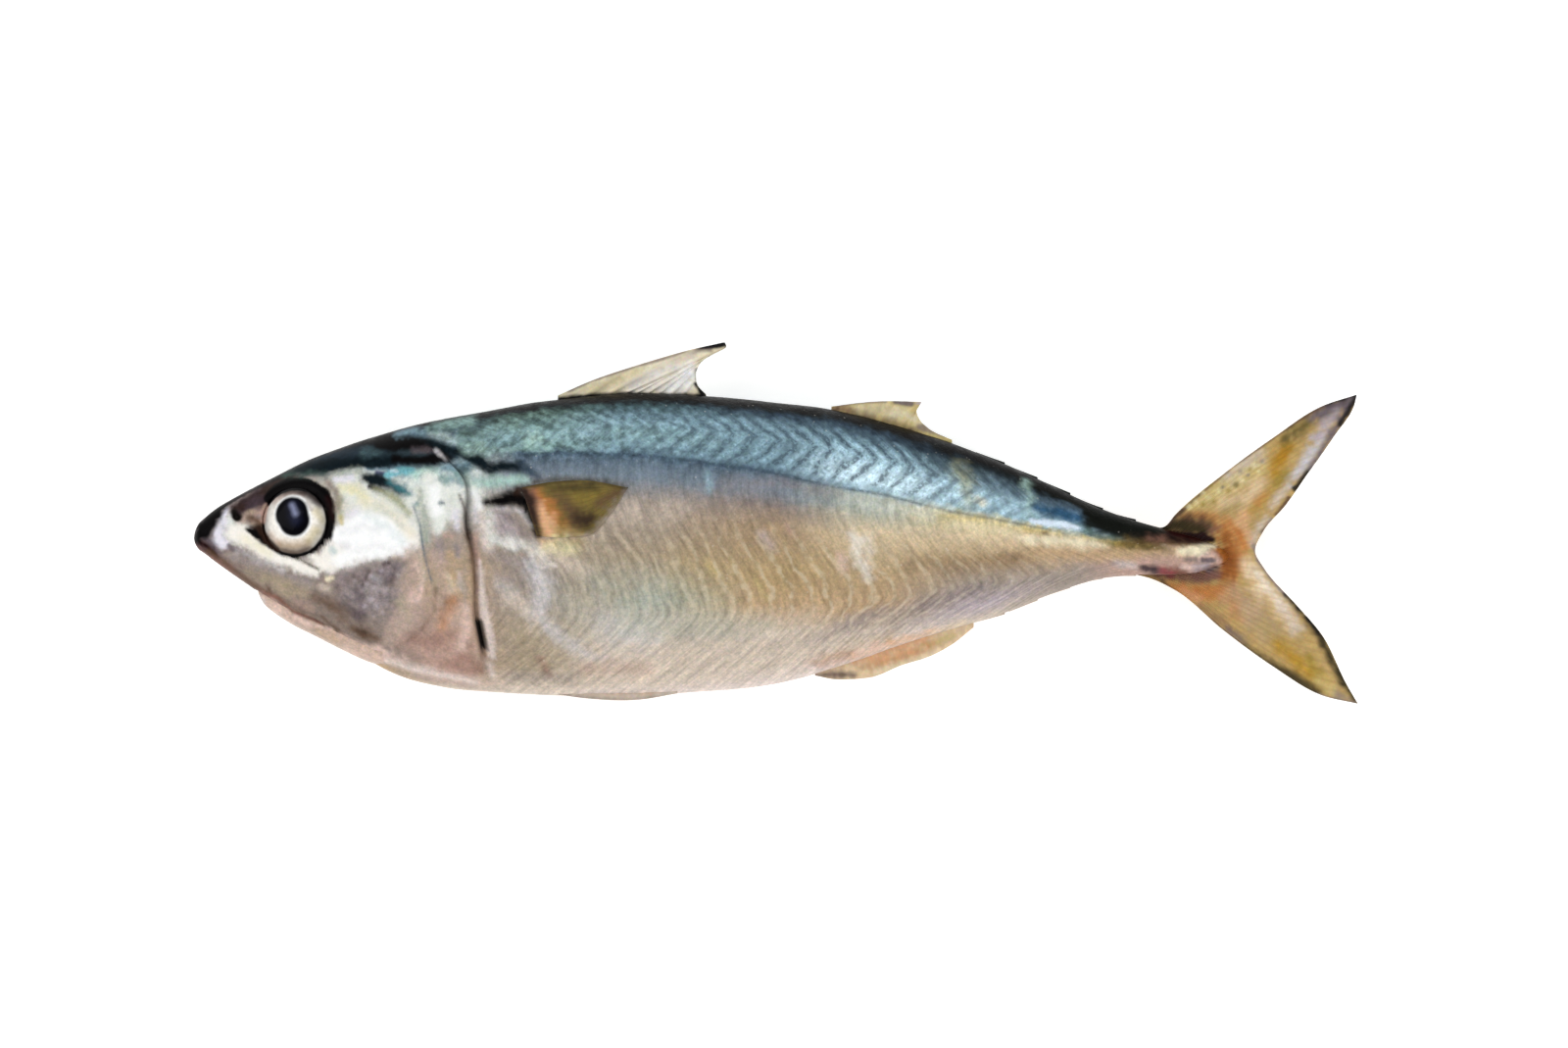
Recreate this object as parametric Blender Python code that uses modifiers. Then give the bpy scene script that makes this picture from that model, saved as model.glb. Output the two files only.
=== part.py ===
# Whole raw mackerel, lying on its right side with its left side up.
# +X runs from the snout to the tail, +Y from the belly to the back, +Z up.
# Stations are millimetres from the tip of the snout, and levels are millimetres above it
# towards the back. The origin is on the table, under the middle of the fish's outline.

import math

import bmesh
import bpy
import numpy as np
from mathutils import Vector

MM = 0.001

# Places of the fish on the table
SNOUT_X = -110.16
SNOUT_Y = -2.91
TABLE_Z = 0.0

# Side view of the body without its fins: (station, level)
BACK_LINE = (
    (0, 2.2), (1.1, 3.1), (4.1, 5.5), (8.5, 8.1), (14.5, 11.2), (23.5, 15.5), (32.8, 18.8),
    (42.1, 21.4), (51.3, 23.3), (69.9, 26.4), (79.1, 27.3), (88.4, 27.4), (106.9, 26.0),
    (121.2, 24.2), (133.2, 21.2), (143.3, 18.1), (153.3, 14.1), (162.5, 9.9), (171.8, 5.5),
    (179.2, 3.0), (184, 1.7), (196, -1.6),
)
BELLY_LINE = (
    (0, -1.8), (1.1, -2.3), (4.1, -4.4), (8.5, -7.5), (11.9, -9.9), (18.9, -14.7), (23.5, -17.0),
    (28.2, -19.9), (32.8, -22.9), (37.4, -25.3), (46.7, -27.9), (60, -29.3), (74.5, -29.7),
    (93.0, -29.2), (111.6, -27.2), (125.5, -23.0), (134.7, -19.9), (144.0, -17.0),
    (153.3, -14.2), (162.5, -10.4), (171.8, -7.5), (178.3, -6.9), (188.5, -6.6), (196, -5.2),
)
HALF_WIDTH = (
    (0, 1.9), (1.1, 2.4), (4.1, 3.6), (8.5, 5.1), (14.5, 6.9), (19, 8.0), (23.5, 9.0),
    (28.2, 9.9), (37.4, 11.6), (46.7, 12.8), (56, 13.6), (65.2, 14.1), (74.5, 14.5),
    (88, 14.6), (102, 14.2), (116, 13.3), (130, 11.8), (144, 9.7), (153.3, 8.1), (162.5, 6.5),
    (171.8, 5.0), (178, 4.2), (184, 3.6), (190, 2.9), (196, 2.0),
)
# Height of the middle plane over the table: the tail droops a little
SPINE_HEIGHT = (
    (0, 11.9), (30, 12.8), (60, 13.6), (90, 13.7), (130, 13.0), (160, 11.6), (180, 10.4),
    (195, 9.4), (222, 6.9),
)
WIDEST_SHARE = ((0, 0.48), (20, 0.52), (60, 0.56), (130, 0.56), (180, 0.5), (196, 0.5))
BACK_ROUNDNESS = 2.15
# Below the widest level the section is fuller at the jaws and sharper along the belly
BELLY_ROUNDNESS = ((0, 2.0), (10, 2.5), (18, 3.1), (24, 3.0), (34, 2.1), (60, 1.95), (196, 2.0))
SNOUT_RADIUS = 1.3
STUMP_RADIUS = 7.0
BODY_END = 196.0

# Rings of the body's mesh, closer together on the head
HEAD_RINGS = 36
TRUNK_RINGS = 37
SEGMENTS = 36

# Gill cover: the rings lean to follow its rear edge, where it stands proud of the shoulder
GILL_STATION = 51.5
GILL_EDGE_LEAN = (
    (-29, 4.2), (-25.5, 3.9), (-20.7, 3.4), (-15.5, 2.1), (-3.2, 1.3), (1.9, 0), (11.6, -0.7),
    (15.5, -3.6), (27, -5.5),
)
GILL_LEAN_REACH = 13.0
GILL_RAISE = 0.9
GILL_RAMP = 15.0
GILL_STEP = 0.35
GILL_GROOVE = 0.35
GILL_GROOVE_REACH = 2.0
GILL_SLOT = 1.0
GILL_SLOT_LEVEL = -18.0
GILL_SLOT_SPREAD = 4.5
GILL_TOP_LEVEL = 16.0
GILL_TOP_FADE = 5.0

# Lower jaw, a shallow scoop under the edge of the upper one
JAW_START = 11.9
JAW_END = 38.0
JAW_LINE = (
    (11.9, -11.3), (14.5, -13.5), (18.9, -16.4), (23.5, -18.7), (28.2, -21.1), (32.8, -23.2),
    (38, -24.6),
)
JAW_HALF_WIDTH = (
    (11.9, 1.6), (14.5, 2.9), (18.9, 4.4), (23.5, 5.2), (28.2, 5.6), (32.8, 5.6), (38, 5.0),
)
JAW_DEPTH = 5.4
JAW_TIP_RADIUS = 2.0
JAW_RINGS = 12
JAW_SEGMENTS = 20

# Eyes: flat lenses set in round sockets
EYE_STATION = 19.3
EYE_LEVEL = 3.1
EYE_RADIUS = 7.0
EYE_HALF_DEPTH = 3.4
EYE_SUNK = 1.9
SOCKET_CLEARANCE = 0.3
EYE_SEGMENTS = 32
EYE_RINGS = 16
NOSTRIL_STATION = 8.2
NOSTRIL_LEVEL = 4.1
NOSTRIL_RADIUS = 0.75

# Fins. Each has a root line inside the body and an outer edge, both from front to rear
FIN_ROOT_DEPTH = 1.8
RAY_THICKNESS = 0.9
MEMBRANE_SHARE = 0.6
EDGE_SHARE = 0.55
DORSAL_BASE = (68.9, 97.0)
DORSAL_LEAD = ((68.9, 27.0), (74.5, 29.5), (83.8, 32.7), (93.0, 35.4), (100.4, 37.1))
DORSAL_TRAIL = ((100.4, 37.1), (98.0, 35.4), (95.9, 33.8), (94.9, 31.3), (95.3, 29.0), (96.9, 27.2))
SOFT_DORSAL_BASE = (120.6, 143.4)
SOFT_DORSAL_LEAD = ((120.6, 24.9), (124.2, 25.4), (130.0, 25.9), (137.6, 25.8))
SOFT_DORSAL_TRAIL = ((137.6, 25.8), (136.7, 24.4), (137.4, 22.3), (138.8, 20.9), (143.4, 18.6))
ANAL_BASE = (117.5, 147.5)
ANAL_LEAD = ((117.5, -25.9), (121.0, -26.6), (125.0, -26.6))
ANAL_TRAIL = ((125.0, -26.6), (128.3, -26.2), (133.8, -24.0), (139.4, -22.2), (143.6, -19.9), (147.5, -16.8))
FINLETS = 5
FINLET_FIRST = 148.0
FINLET_PITCH = 6.2
FINLET_LENGTH = 5.4
FINLET_HEIGHT = 0.75
FINLET_THICKNESS = 1.2
PELVIC_TOP = ((65.5, -27.2), (74.0, -27.4), (83.0, -27.6), (91.5, -28.9))
PELVIC_BOTTOM = ((65.5, -28.9), (74.0, -30.2), (84.0, -30.5), (91.5, -29.3))
PELVIC_ASIDE = 1.6
PECTORAL_ROOT = ((62.2, 9.6), (63.4, 5.2), (65.1, 0.4))
PECTORAL_TOP = ((62.2, 9.6), (67.5, 10.6), (74.5, 10.9), (82.3, 9.6))
PECTORAL_LOWER = ((65.1, 0.4), (71.0, 0.2), (75.6, 0.9), (79.0, 4.6), (82.3, 9.6))
PECTORAL_LIFT = (0.35, 1.3)
PECTORAL_SINK = 1.6
PECTORAL_FLOOR = 0.25

# Tail fin: the rays fan out from the stump to the two lobes
TAIL_ROOT = ((181.0, 2.0), (186.0, -0.6), (190.0, -2.6), (186.0, -4.8), (177.0, -6.6))
TAIL_UPPER_LEAD = (
    (181.0, 2.0), (183.6, 2.2), (185.7, 4.5), (195.0, 12.3), (204.2, 19.0), (213.5, 25.0), (220.1, 27.2),
)
TAIL_LOWER_LEAD = (
    (177.0, -6.6), (181.1, -7.6), (185.7, -9.8), (195.0, -17.5), (204.2, -24.2), (213.5, -29.7),
    (220.3, -31.3),
)
TAIL_EDGE = (
    (220.1, 27.2), (219.6, 25.2), (215.7, 19.2), (211.1, 12.7), (206.5, 6.2), (202.4, 1.4),
    (200.8, -2.5), (202.4, -5.5), (208.9, -12.9), (213.5, -18.3), (218.1, -27.5), (220.3, -31.3),
)
TAIL_COLUMNS = 30
TAIL_ROWS = 10
TAIL_THICKNESS = 1.0

SKIN_COLOUR = (0.42, 0.44, 0.41)
EYE_COLOUR = (0.03, 0.03, 0.04)


def smooth_line(points):
    # A smooth curve through the points, as a function of the first coordinate
    xs, ys = (np.array(column, float) for column in zip(*points))
    steps = np.diff(xs)
    grades = np.diff(ys) / steps
    slopes = np.empty_like(ys)
    slopes[1:-1] = (grades[:-1] * steps[1:] + grades[1:] * steps[:-1]) / (steps[1:] + steps[:-1])
    slopes[0] = grades[0]
    slopes[-1] = grades[-1]

    def at(x):
        x = np.clip(x, xs[0], xs[-1])
        i = np.clip(np.searchsorted(xs, x) - 1, 0, len(steps) - 1)
        t = (x - xs[i]) / steps[i]
        start = (1 + 2 * t) * (1 - t) ** 2 * ys[i] + t * (1 - t) ** 2 * steps[i] * slopes[i]
        end = t * t * (3 - 2 * t) * ys[i + 1] + t * t * (t - 1) * steps[i] * slopes[i + 1]
        return start + end

    return at


def smooth_path(points):
    # A smooth plane curve through the points, as a function of the share 0 to 1 of its length
    points = np.array(points, float)
    lengths = np.hypot(*np.diff(points, axis=0).T)
    shares = np.concatenate([[0], np.cumsum(lengths)]) / lengths.sum()
    along = smooth_line(zip(shares, points[:, 0]))
    across = smooth_line(zip(shares, points[:, 1]))
    return lambda share: np.stack([along(share), across(share)], axis=-1)


def smooth_step(x):
    x = np.clip(x, 0, 1)
    return x * x * (3 - 2 * x)


back_at = smooth_line(BACK_LINE)
belly_at = smooth_line(BELLY_LINE)
half_width_at = smooth_line(HALF_WIDTH)
spine_at = smooth_line(SPINE_HEIGHT)
widest_share_at = smooth_line(WIDEST_SHARE)
gill_lean_at = smooth_line(GILL_EDGE_LEAN)
belly_roundness_at = smooth_line(BELLY_ROUNDNESS)


def rounded_end(station):
    # Closes the body in a blunt round tip at the snout, and in a stump inside the tail fin
    snout = np.clip(station / SNOUT_RADIUS, 0, 1)
    stump = np.clip((BODY_END - station) / STUMP_RADIUS, 0, 1)
    return np.sqrt(1 - (1 - snout) ** 2) * np.sqrt(1 - (1 - stump) ** 2)


def section_sizes(station):
    # Level of the widest point, height above it, depth below it and half the width
    back = back_at(station)
    belly = belly_at(station)
    widest = belly + (back - belly) * widest_share_at(station)
    closing = rounded_end(station)
    return widest, (back - widest) * closing, (widest - belly) * closing, half_width_at(station) * closing


def section_point(station, angle):
    # Level and sideways distance at an angle that runs from the back over the left side
    widest, above, below, half_width = section_sizes(station)
    up, side = np.cos(angle), np.sin(angle)
    roundness = np.where(up > 0, BACK_ROUNDNESS, belly_roundness_at(station))
    reach = np.where(up > 0, above, below)
    level = widest + reach * np.sign(up) * np.abs(up) ** (2 / roundness)
    aside = half_width * np.sign(side) * np.abs(side) ** (2 / roundness)
    return level, aside


def flank_aside(station, level):
    # How far the skin stands from the middle plane at a station and level
    widest, above, below, half_width = section_sizes(station)
    up = level > widest
    roundness = np.where(up, BACK_ROUNDNESS, belly_roundness_at(station))
    share = np.clip(np.abs(level - widest) / np.where(up, above, below), 0, 1)
    return half_width * (1 - share ** roundness) ** (1 / roundness)


def gill_relief(from_edge, level):
    # The gill cover swells towards its rear edge and drops into a groove behind it
    ahead = GILL_RAISE * smooth_step((from_edge + GILL_RAMP) / GILL_RAMP)
    groove = GILL_GROOVE + GILL_SLOT * np.exp(-(((level - GILL_SLOT_LEVEL) / GILL_SLOT_SPREAD) ** 2))
    behind = -groove * np.exp(-np.clip(from_edge, 0, None) / GILL_GROOVE_REACH)
    fade = smooth_step((GILL_TOP_LEVEL - level) / GILL_TOP_FADE)
    return np.where(from_edge <= 0, ahead, behind) * fade


def body_point(station, angle):
    # A point of the skin, with the rings leaned along the gill cover's edge
    level, aside = section_point(station, angle)
    nearness = np.exp(-(((station - GILL_STATION) / GILL_LEAN_REACH) ** 2))
    leaned = station + nearness * gill_lean_at(level)
    level, aside = section_point(leaned, angle)
    relief = gill_relief(station - GILL_STATION, level)
    _, above, below, half_width = section_sizes(leaned)
    rise = np.cos(angle) / np.maximum(np.where(np.cos(angle) > 0, above, below), 0.01)
    out = np.sin(angle) / np.maximum(half_width, 0.01)
    size = np.hypot(rise, out)
    return leaned, level + relief * rise / size, aside + relief * out / size


def jaw_point(station, angle):
    bottom = smooth_line(JAW_LINE)(station)
    closing = np.sqrt(1 - (1 - np.clip((station - JAW_START) / JAW_TIP_RADIUS, 0, 1)) ** 2)
    closing = closing * np.sqrt(np.clip((JAW_END - station) / JAW_TIP_RADIUS, 0, 1))
    level = bottom + JAW_DEPTH / 2 + JAW_DEPTH / 2 * np.cos(angle) * closing
    return station, level, smooth_line(JAW_HALF_WIDTH)(station) * np.sin(angle) * closing


def place(station, level, aside):
    # From the fish's own measures to metres in the model's frame, pressed flat on the table
    height = max(spine_at(station) + aside, TABLE_Z)
    return Vector((SNOUT_X + station, SNOUT_Y + level, height)) * MM


def new_object(name, bm, collection):
    mesh = bpy.data.meshes.new(name)
    bmesh.ops.recalc_face_normals(bm, faces=bm.faces)
    bm.to_mesh(mesh)
    bm.free()
    obj = bpy.data.objects.new(name, mesh)
    collection.objects.link(obj)
    return obj


def ringed_form(name, stations, segments, point_at, collection):
    # A sphere whose poles are the first and last station and whose rings are those between
    bm = bmesh.new()
    bmesh.ops.create_uvsphere(bm, u_segments=segments, v_segments=len(stations) - 1, radius=1)
    for vertex in bm.verts:
        polar = math.acos(max(-1.0, min(1.0, vertex.co.z)))
        ring = round(polar / math.pi * (len(stations) - 1))
        angle = math.atan2(vertex.co.y, vertex.co.x)
        vertex.co = place(*point_at(np.float64(stations[ring]), np.float64(angle)))
    return new_object(name, bm, collection)


def body_stations():
    head = GILL_STATION * np.linspace(0, 1, HEAD_RINGS) ** 1.2
    trunk = np.linspace(GILL_STATION + GILL_STEP, BODY_END, TRUNK_RINGS)
    return np.concatenate([head, trunk])


def fan_sheet(name, root, edge, columns, rows, aside_at, thickness, collection):
    # A thin fin whose rays run from its root line to its outer edge. Every other column of
    # the sheet is a ray, and the skin between the rays is thinner
    bm = bmesh.new()
    bmesh.ops.create_grid(bm, x_segments=columns, y_segments=rows, size=0.5)
    weights = {}
    for vertex in bm.verts:
        share = vertex.co.x + 0.5
        out = vertex.co.y + 0.5
        station, level = root(share) + (edge(share) - root(share)) * out
        vertex.co = place(station, level, aside_at(station, level))
        column = round(share * columns)
        ridge = MEMBRANE_SHARE if column % 2 else 1.0
        weights[vertex.index] = ridge * (1 - (1 - EDGE_SHARE) * out)
    fin = new_object(name, bm, collection)
    group = fin.vertex_groups.new(name="thickness")
    for index, weight in weights.items():
        group.add([index], weight, "REPLACE")
    thicken = fin.modifiers.new("Thickness", "SOLIDIFY")
    thicken.thickness = thickness * MM
    thicken.offset = 0
    thicken.vertex_group = group.name
    return fin


def fin_edge(lead, trail, lead_share):
    # The outer edge from front to rear: the leading edge, then the trailing one
    leading = smooth_path(lead)
    trailing = smooth_path(trail)

    def at(share):
        if share < lead_share:
            return leading(share / lead_share)
        return trailing((share - lead_share) / (1 - lead_share))

    return at


def sunk_base(base, line_at, depth):
    # A fin's root, set inside the body along its back or belly line
    def at(share):
        station = base[0] + (base[1] - base[0]) * share
        return np.array([station, line_at(station) + depth])

    return at


def middle_plane(sag):
    # Fins in the middle plane hang a little towards the table away from the body
    def aside(station, level):
        past = max(level - back_at(station), belly_at(station) - level, 0.0)
        return -sag * past

    return aside


def dorsal_fins(collection):
    fan_sheet(
        "spiny_dorsal", sunk_base(DORSAL_BASE, back_at, -FIN_ROOT_DEPTH),
        fin_edge(DORSAL_LEAD, DORSAL_TRAIL, 0.25), 20, 8, middle_plane(0.12), RAY_THICKNESS, collection,
    )
    fan_sheet(
        "soft_dorsal", sunk_base(SOFT_DORSAL_BASE, back_at, -FIN_ROOT_DEPTH),
        fin_edge(SOFT_DORSAL_LEAD, SOFT_DORSAL_TRAIL, 0.55), 22, 5, middle_plane(0.15), RAY_THICKNESS,
        collection,
    )


def anal_fin(collection):
    fan_sheet(
        "anal", sunk_base(ANAL_BASE, belly_at, FIN_ROOT_DEPTH),
        fin_edge(ANAL_LEAD, ANAL_TRAIL, 0.2), 22, 5, middle_plane(0.1), RAY_THICKNESS, collection,
    )


def finlet(name, start, line_at, outward, collection):
    # A small flap that lies along the back or belly and rises a little at its rear tip
    lift = outward * FINLET_HEIGHT

    def root(share):
        station = start + FINLET_LENGTH * share
        return np.array([station, line_at(station) - outward * FIN_ROOT_DEPTH])

    def edge(share):
        station = start + FINLET_LENGTH * share
        return np.array([station, line_at(station) + lift * share ** 1.5])

    fan_sheet(name, root, edge, 4, 3, lambda station, level: 0.0, FINLET_THICKNESS, collection)


def finlets(collection):
    for number in range(FINLETS):
        start = FINLET_FIRST + FINLET_PITCH * number
        finlet(f"finlet_back_{number + 1}", start, back_at, 1, collection)
        finlet(f"finlet_belly_{number + 1}", start, belly_at, -1, collection)


def pelvic_fins(collection):
    # Two narrow blades folded back along the keel of the belly
    for side, name in ((1, "left"), (-1, "right")):
        fan_sheet(
            f"pelvic_{name}", smooth_path(PELVIC_TOP), smooth_path(PELVIC_BOTTOM), 12, 3,
            lambda station, level, side=side: side * PELVIC_ASIDE, RAY_THICKNESS, collection,
        )


def pectoral_fins(collection):
    # A pointed fan behind each gill cover. Its inner face is sunk in the flank, so that the
    # blade stands on the skin, and the lower one stays off the table
    top, lower = smooth_path(PECTORAL_TOP), smooth_path(PECTORAL_LOWER)
    tip_station = PECTORAL_TOP[-1][0]
    root_station = PECTORAL_ROOT[0][0]
    for side, name in ((1, "left"), (-1, "right")):
        bm = bmesh.new()
        bmesh.ops.create_cube(bm, size=1)
        bmesh.ops.subdivide_edges(bm, edges=bm.edges, cuts=6, use_grid_fill=True)
        for vertex in bm.verts:
            across, along, up = (part + 0.5 for part in vertex.co)
            upper_point, lower_point = top(along), lower(along)
            station, level = upper_point + (lower_point - upper_point) * across
            reach = (station - root_station) / (tip_station - root_station)
            lift = PECTORAL_LIFT[0] + (PECTORAL_LIFT[1] - PECTORAL_LIFT[0]) * reach
            stand = lift * up - PECTORAL_SINK * (1 - up)
            aside = side * (flank_aside(station, level) + stand)
            vertex.co = place(station, level, aside)
            vertex.co.z = max(vertex.co.z, PECTORAL_FLOOR * MM)
        bmesh.ops.remove_doubles(bm, verts=bm.verts, dist=0.02 * MM)
        new_object(f"pectoral_{name}", bm, collection)


def tail_fin(collection):
    edge = smooth_path(TAIL_EDGE)
    upper, lower = smooth_path(TAIL_UPPER_LEAD), smooth_path(TAIL_LOWER_LEAD)
    root = smooth_path(TAIL_ROOT)
    bm = bmesh.new()
    bmesh.ops.create_grid(bm, x_segments=TAIL_COLUMNS, y_segments=TAIL_ROWS, size=0.5)
    weights = {}
    for vertex in bm.verts:
        share, out = vertex.co.x + 0.5, vertex.co.y + 0.5
        straight = root(share) + (edge(share) - root(share)) * out
        # The outermost rays follow the curved leading edges, the middle ones are straight
        lead = upper(out) if share < 0.5 else lower(out)
        end = 0.0 if share < 0.5 else 1.0
        chord = root(end) + (edge(end) - root(end)) * out
        pull = abs(share - 0.5) * 2
        station, level = straight + (lead - chord) * pull ** 2
        vertex.co = place(station, level, 0.0)
        ridge = MEMBRANE_SHARE if round(share * TAIL_COLUMNS) % 2 else 1.0
        weights[vertex.index] = ridge * (1 - (1 - EDGE_SHARE) * out)
    fin = new_object("tail", bm, collection)
    group = fin.vertex_groups.new(name="thickness")
    for index, weight in weights.items():
        group.add([index], weight, "REPLACE")
    thicken = fin.modifiers.new("Thickness", "SOLIDIFY")
    thicken.thickness = TAIL_THICKNESS * MM
    thicken.offset = 0
    thicken.vertex_group = group.name


def eye_frame(side):
    # Centre of the eye's lens, and the way that it looks
    station, level = np.float64(EYE_STATION), np.float64(EYE_LEVEL)
    here = place(station, level, side * flank_aside(station, level))
    behind = place(station + 1, level, side * flank_aside(station + 1, level))
    above = place(station, level + 1, side * flank_aside(station, level + 1))
    outward = (behind - here).cross(above - here).normalized() * side
    return here - outward * EYE_SUNK * MM, outward


def nostril(name, side, collection):
    # A small pit ahead of the eye
    station, level = np.float64(NOSTRIL_STATION), np.float64(NOSTRIL_LEVEL)
    centre = place(station, level, side * flank_aside(station, level))
    bpy.ops.mesh.primitive_uv_sphere_add(segments=12, ring_count=8, radius=NOSTRIL_RADIUS * MM)
    ball = bpy.context.object
    ball.name = name
    ball.location = centre
    for holder in list(ball.users_collection):
        holder.objects.unlink(ball)
    collection.objects.link(ball)


def lens(name, side, grown, collection):
    centre, outward = eye_frame(side)
    bpy.ops.mesh.primitive_uv_sphere_add(segments=EYE_SEGMENTS, ring_count=EYE_RINGS, radius=1)
    ball = bpy.context.object
    ball.name = name
    ball.scale = [(size + grown) * MM for size in (EYE_RADIUS, EYE_RADIUS, EYE_HALF_DEPTH)]
    bpy.ops.object.transform_apply(location=False, rotation=False, scale=True)
    ball.rotation_mode = "QUATERNION"
    ball.rotation_quaternion = outward.to_track_quat("Z", "Y")
    ball.location = centre
    ball.data.shade_smooth()
    for holder in list(ball.users_collection):
        holder.objects.unlink(ball)
    collection.objects.link(ball)
    return ball


def apply_boolean(obj, operation, collection):
    # Joins or cuts with everything in a collection, then removes what was used
    change = obj.modifiers.new(operation.title(), "BOOLEAN")
    change.operation = operation
    change.operand_type = "COLLECTION"
    change.collection = collection
    change.solver = "EXACT"
    bpy.context.view_layer.objects.active = obj
    bpy.ops.object.modifier_apply(modifier=change.name)
    for used in list(collection.objects):
        bpy.data.objects.remove(used)
    bpy.data.collections.remove(collection)


def material(name, colour, roughness, metallic):
    made = bpy.data.materials.new(name)
    made.use_nodes = True
    shader = made.node_tree.nodes["Principled BSDF"]
    shader.inputs["Base Color"].default_value = (*colour, 1)
    shader.inputs["Roughness"].default_value = roughness
    shader.inputs["Metallic"].default_value = metallic
    return made


def new_collection(name):
    made = bpy.data.collections.new(name)
    bpy.context.scene.collection.children.link(made)
    return made


def main():
    for old in list(bpy.data.objects):
        bpy.data.objects.remove(old)
    fish_parts = new_collection("mackerel")
    joined = new_collection("joined_to_body")
    cutters = new_collection("sockets")

    fish = ringed_form("fish", body_stations(), SEGMENTS, body_point, fish_parts)
    jaw_stations = np.linspace(JAW_START, JAW_END, JAW_RINGS)
    ringed_form("lower_jaw", jaw_stations, JAW_SEGMENTS, jaw_point, joined)
    dorsal_fins(joined)
    anal_fin(joined)
    finlets(joined)
    pelvic_fins(joined)
    pectoral_fins(joined)
    tail_fin(joined)
    apply_boolean(fish, "UNION", joined)

    for side, name in ((1, "left"), (-1, "right")):
        lens(f"socket_{name}", side, SOCKET_CLEARANCE, cutters)
        nostril(f"nostril_{name}", side, cutters)
    apply_boolean(fish, "DIFFERENCE", cutters)
    fish.data.shade_smooth()
    fish.data.set_sharp_from_angle(angle=math.radians(40))
    fish.data.materials.clear()
    fish.data.materials.append(material("wet_skin", SKIN_COLOUR, 0.35, 0.0))

    eye_finish = material("wet_eye", EYE_COLOUR, 0.08, 0.0)
    for side, name in ((1, "left"), (-1, "right")):
        eye = lens(f"eye_{name}", side, 0.0, fish_parts)
        eye.data.materials.append(eye_finish)


main()
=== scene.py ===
import math

import bmesh
import bpy
import numpy as np
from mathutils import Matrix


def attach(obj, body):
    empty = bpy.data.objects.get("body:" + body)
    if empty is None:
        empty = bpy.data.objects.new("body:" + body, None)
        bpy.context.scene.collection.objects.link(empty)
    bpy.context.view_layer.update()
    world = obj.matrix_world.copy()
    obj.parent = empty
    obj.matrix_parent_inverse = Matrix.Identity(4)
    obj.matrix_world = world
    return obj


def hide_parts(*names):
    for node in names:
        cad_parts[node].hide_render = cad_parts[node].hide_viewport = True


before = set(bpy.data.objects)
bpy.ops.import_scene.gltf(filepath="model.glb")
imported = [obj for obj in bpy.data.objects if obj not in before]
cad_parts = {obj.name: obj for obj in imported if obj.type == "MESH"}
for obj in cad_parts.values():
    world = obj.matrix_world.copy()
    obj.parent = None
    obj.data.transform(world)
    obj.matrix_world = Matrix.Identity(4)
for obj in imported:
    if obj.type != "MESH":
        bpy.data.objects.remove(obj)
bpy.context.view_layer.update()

# A raw short mackerel lies on its right side. Stations are mm from the tip of the snout
# and levels are mm above it, towards the back. Marks are placed in the picture's pixels.
fish = {
    "mmPerPixel": 0.18534,
    "snoutPixel": (198.0, 548.5),
    "snoutX": -110.16,
    "snoutY": -2.91,
    "bodyEnd": 196.0,
    "snoutRadius": 1.3,
    "stumpRadius": 7.0,
    "backRoundness": 2.15,
    "back": (
        (0, 2.2), (1.1, 3.1), (4.1, 5.5), (8.5, 8.1), (14.5, 11.2), (23.5, 15.5), (32.8, 18.8),
        (42.1, 21.4), (51.3, 23.3), (69.9, 26.4), (79.1, 27.3), (88.4, 27.4), (106.9, 26.0),
        (121.2, 24.2), (133.2, 21.2), (143.3, 18.1), (153.3, 14.1), (162.5, 9.9), (171.8, 5.5),
        (179.2, 3.0), (184, 1.7), (196, -1.6),
    ),
    "belly": (
        (0, -1.8), (1.1, -2.3), (4.1, -4.4), (8.5, -7.5), (11.9, -9.9), (18.9, -14.7), (23.5, -17.0),
        (28.2, -19.9), (32.8, -22.9), (37.4, -25.3), (46.7, -27.9), (60, -29.3), (74.5, -29.7),
        (93.0, -29.2), (111.6, -27.2), (125.5, -23.0), (134.7, -19.9), (144.0, -17.0),
        (153.3, -14.2), (162.5, -10.4), (171.8, -7.5), (178.3, -6.9), (188.5, -6.6), (196, -5.2),
    ),
    "halfWidth": (
        (0, 1.9), (1.1, 2.4), (4.1, 3.6), (8.5, 5.1), (14.5, 6.9), (19, 8.0), (23.5, 9.0),
        (28.2, 9.9), (37.4, 11.6), (46.7, 12.8), (56, 13.6), (65.2, 14.1), (74.5, 14.5),
        (88, 14.6), (102, 14.2), (116, 13.3), (130, 11.8), (144, 9.7), (153.3, 8.1), (162.5, 6.5),
        (171.8, 5.0), (178, 4.2), (184, 3.6), (190, 2.9), (196, 2.0),
    ),
    "spine": (
        (0, 11.9), (30, 12.8), (60, 13.6), (90, 13.7), (130, 13.0), (160, 11.6), (180, 10.4),
        (195, 9.4), (222, 6.9),
    ),
    "widest": ((0, 0.48), (20, 0.52), (60, 0.56), (130, 0.56), (180, 0.5), (196, 0.5)),
    "bellyRoundness": ((0, 2.0), (10, 2.5), (18, 3.1), (24, 3.0), (34, 2.1), (60, 1.95), (196, 2.0)),
    # The line where the dark back meets the pale side: the lateral line, drawn on over the head
    "lateral": (
        (0, 2.5), (8, 7.5), (18, 11.4), (30, 13.0), (40, 11.6), (50, 13.0), (57, 15.4), (67.1, 16.0),
        (80.4, 15.8), (88.4, 15.3), (99.0, 13.9), (109.7, 12.3), (120.3, 9.9), (130.9, 8.1),
        (141.6, 5.4), (150.5, 3.8), (167.2, 0.6), (178.3, -1.4), (196, -3.2),
    ),
}


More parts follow.
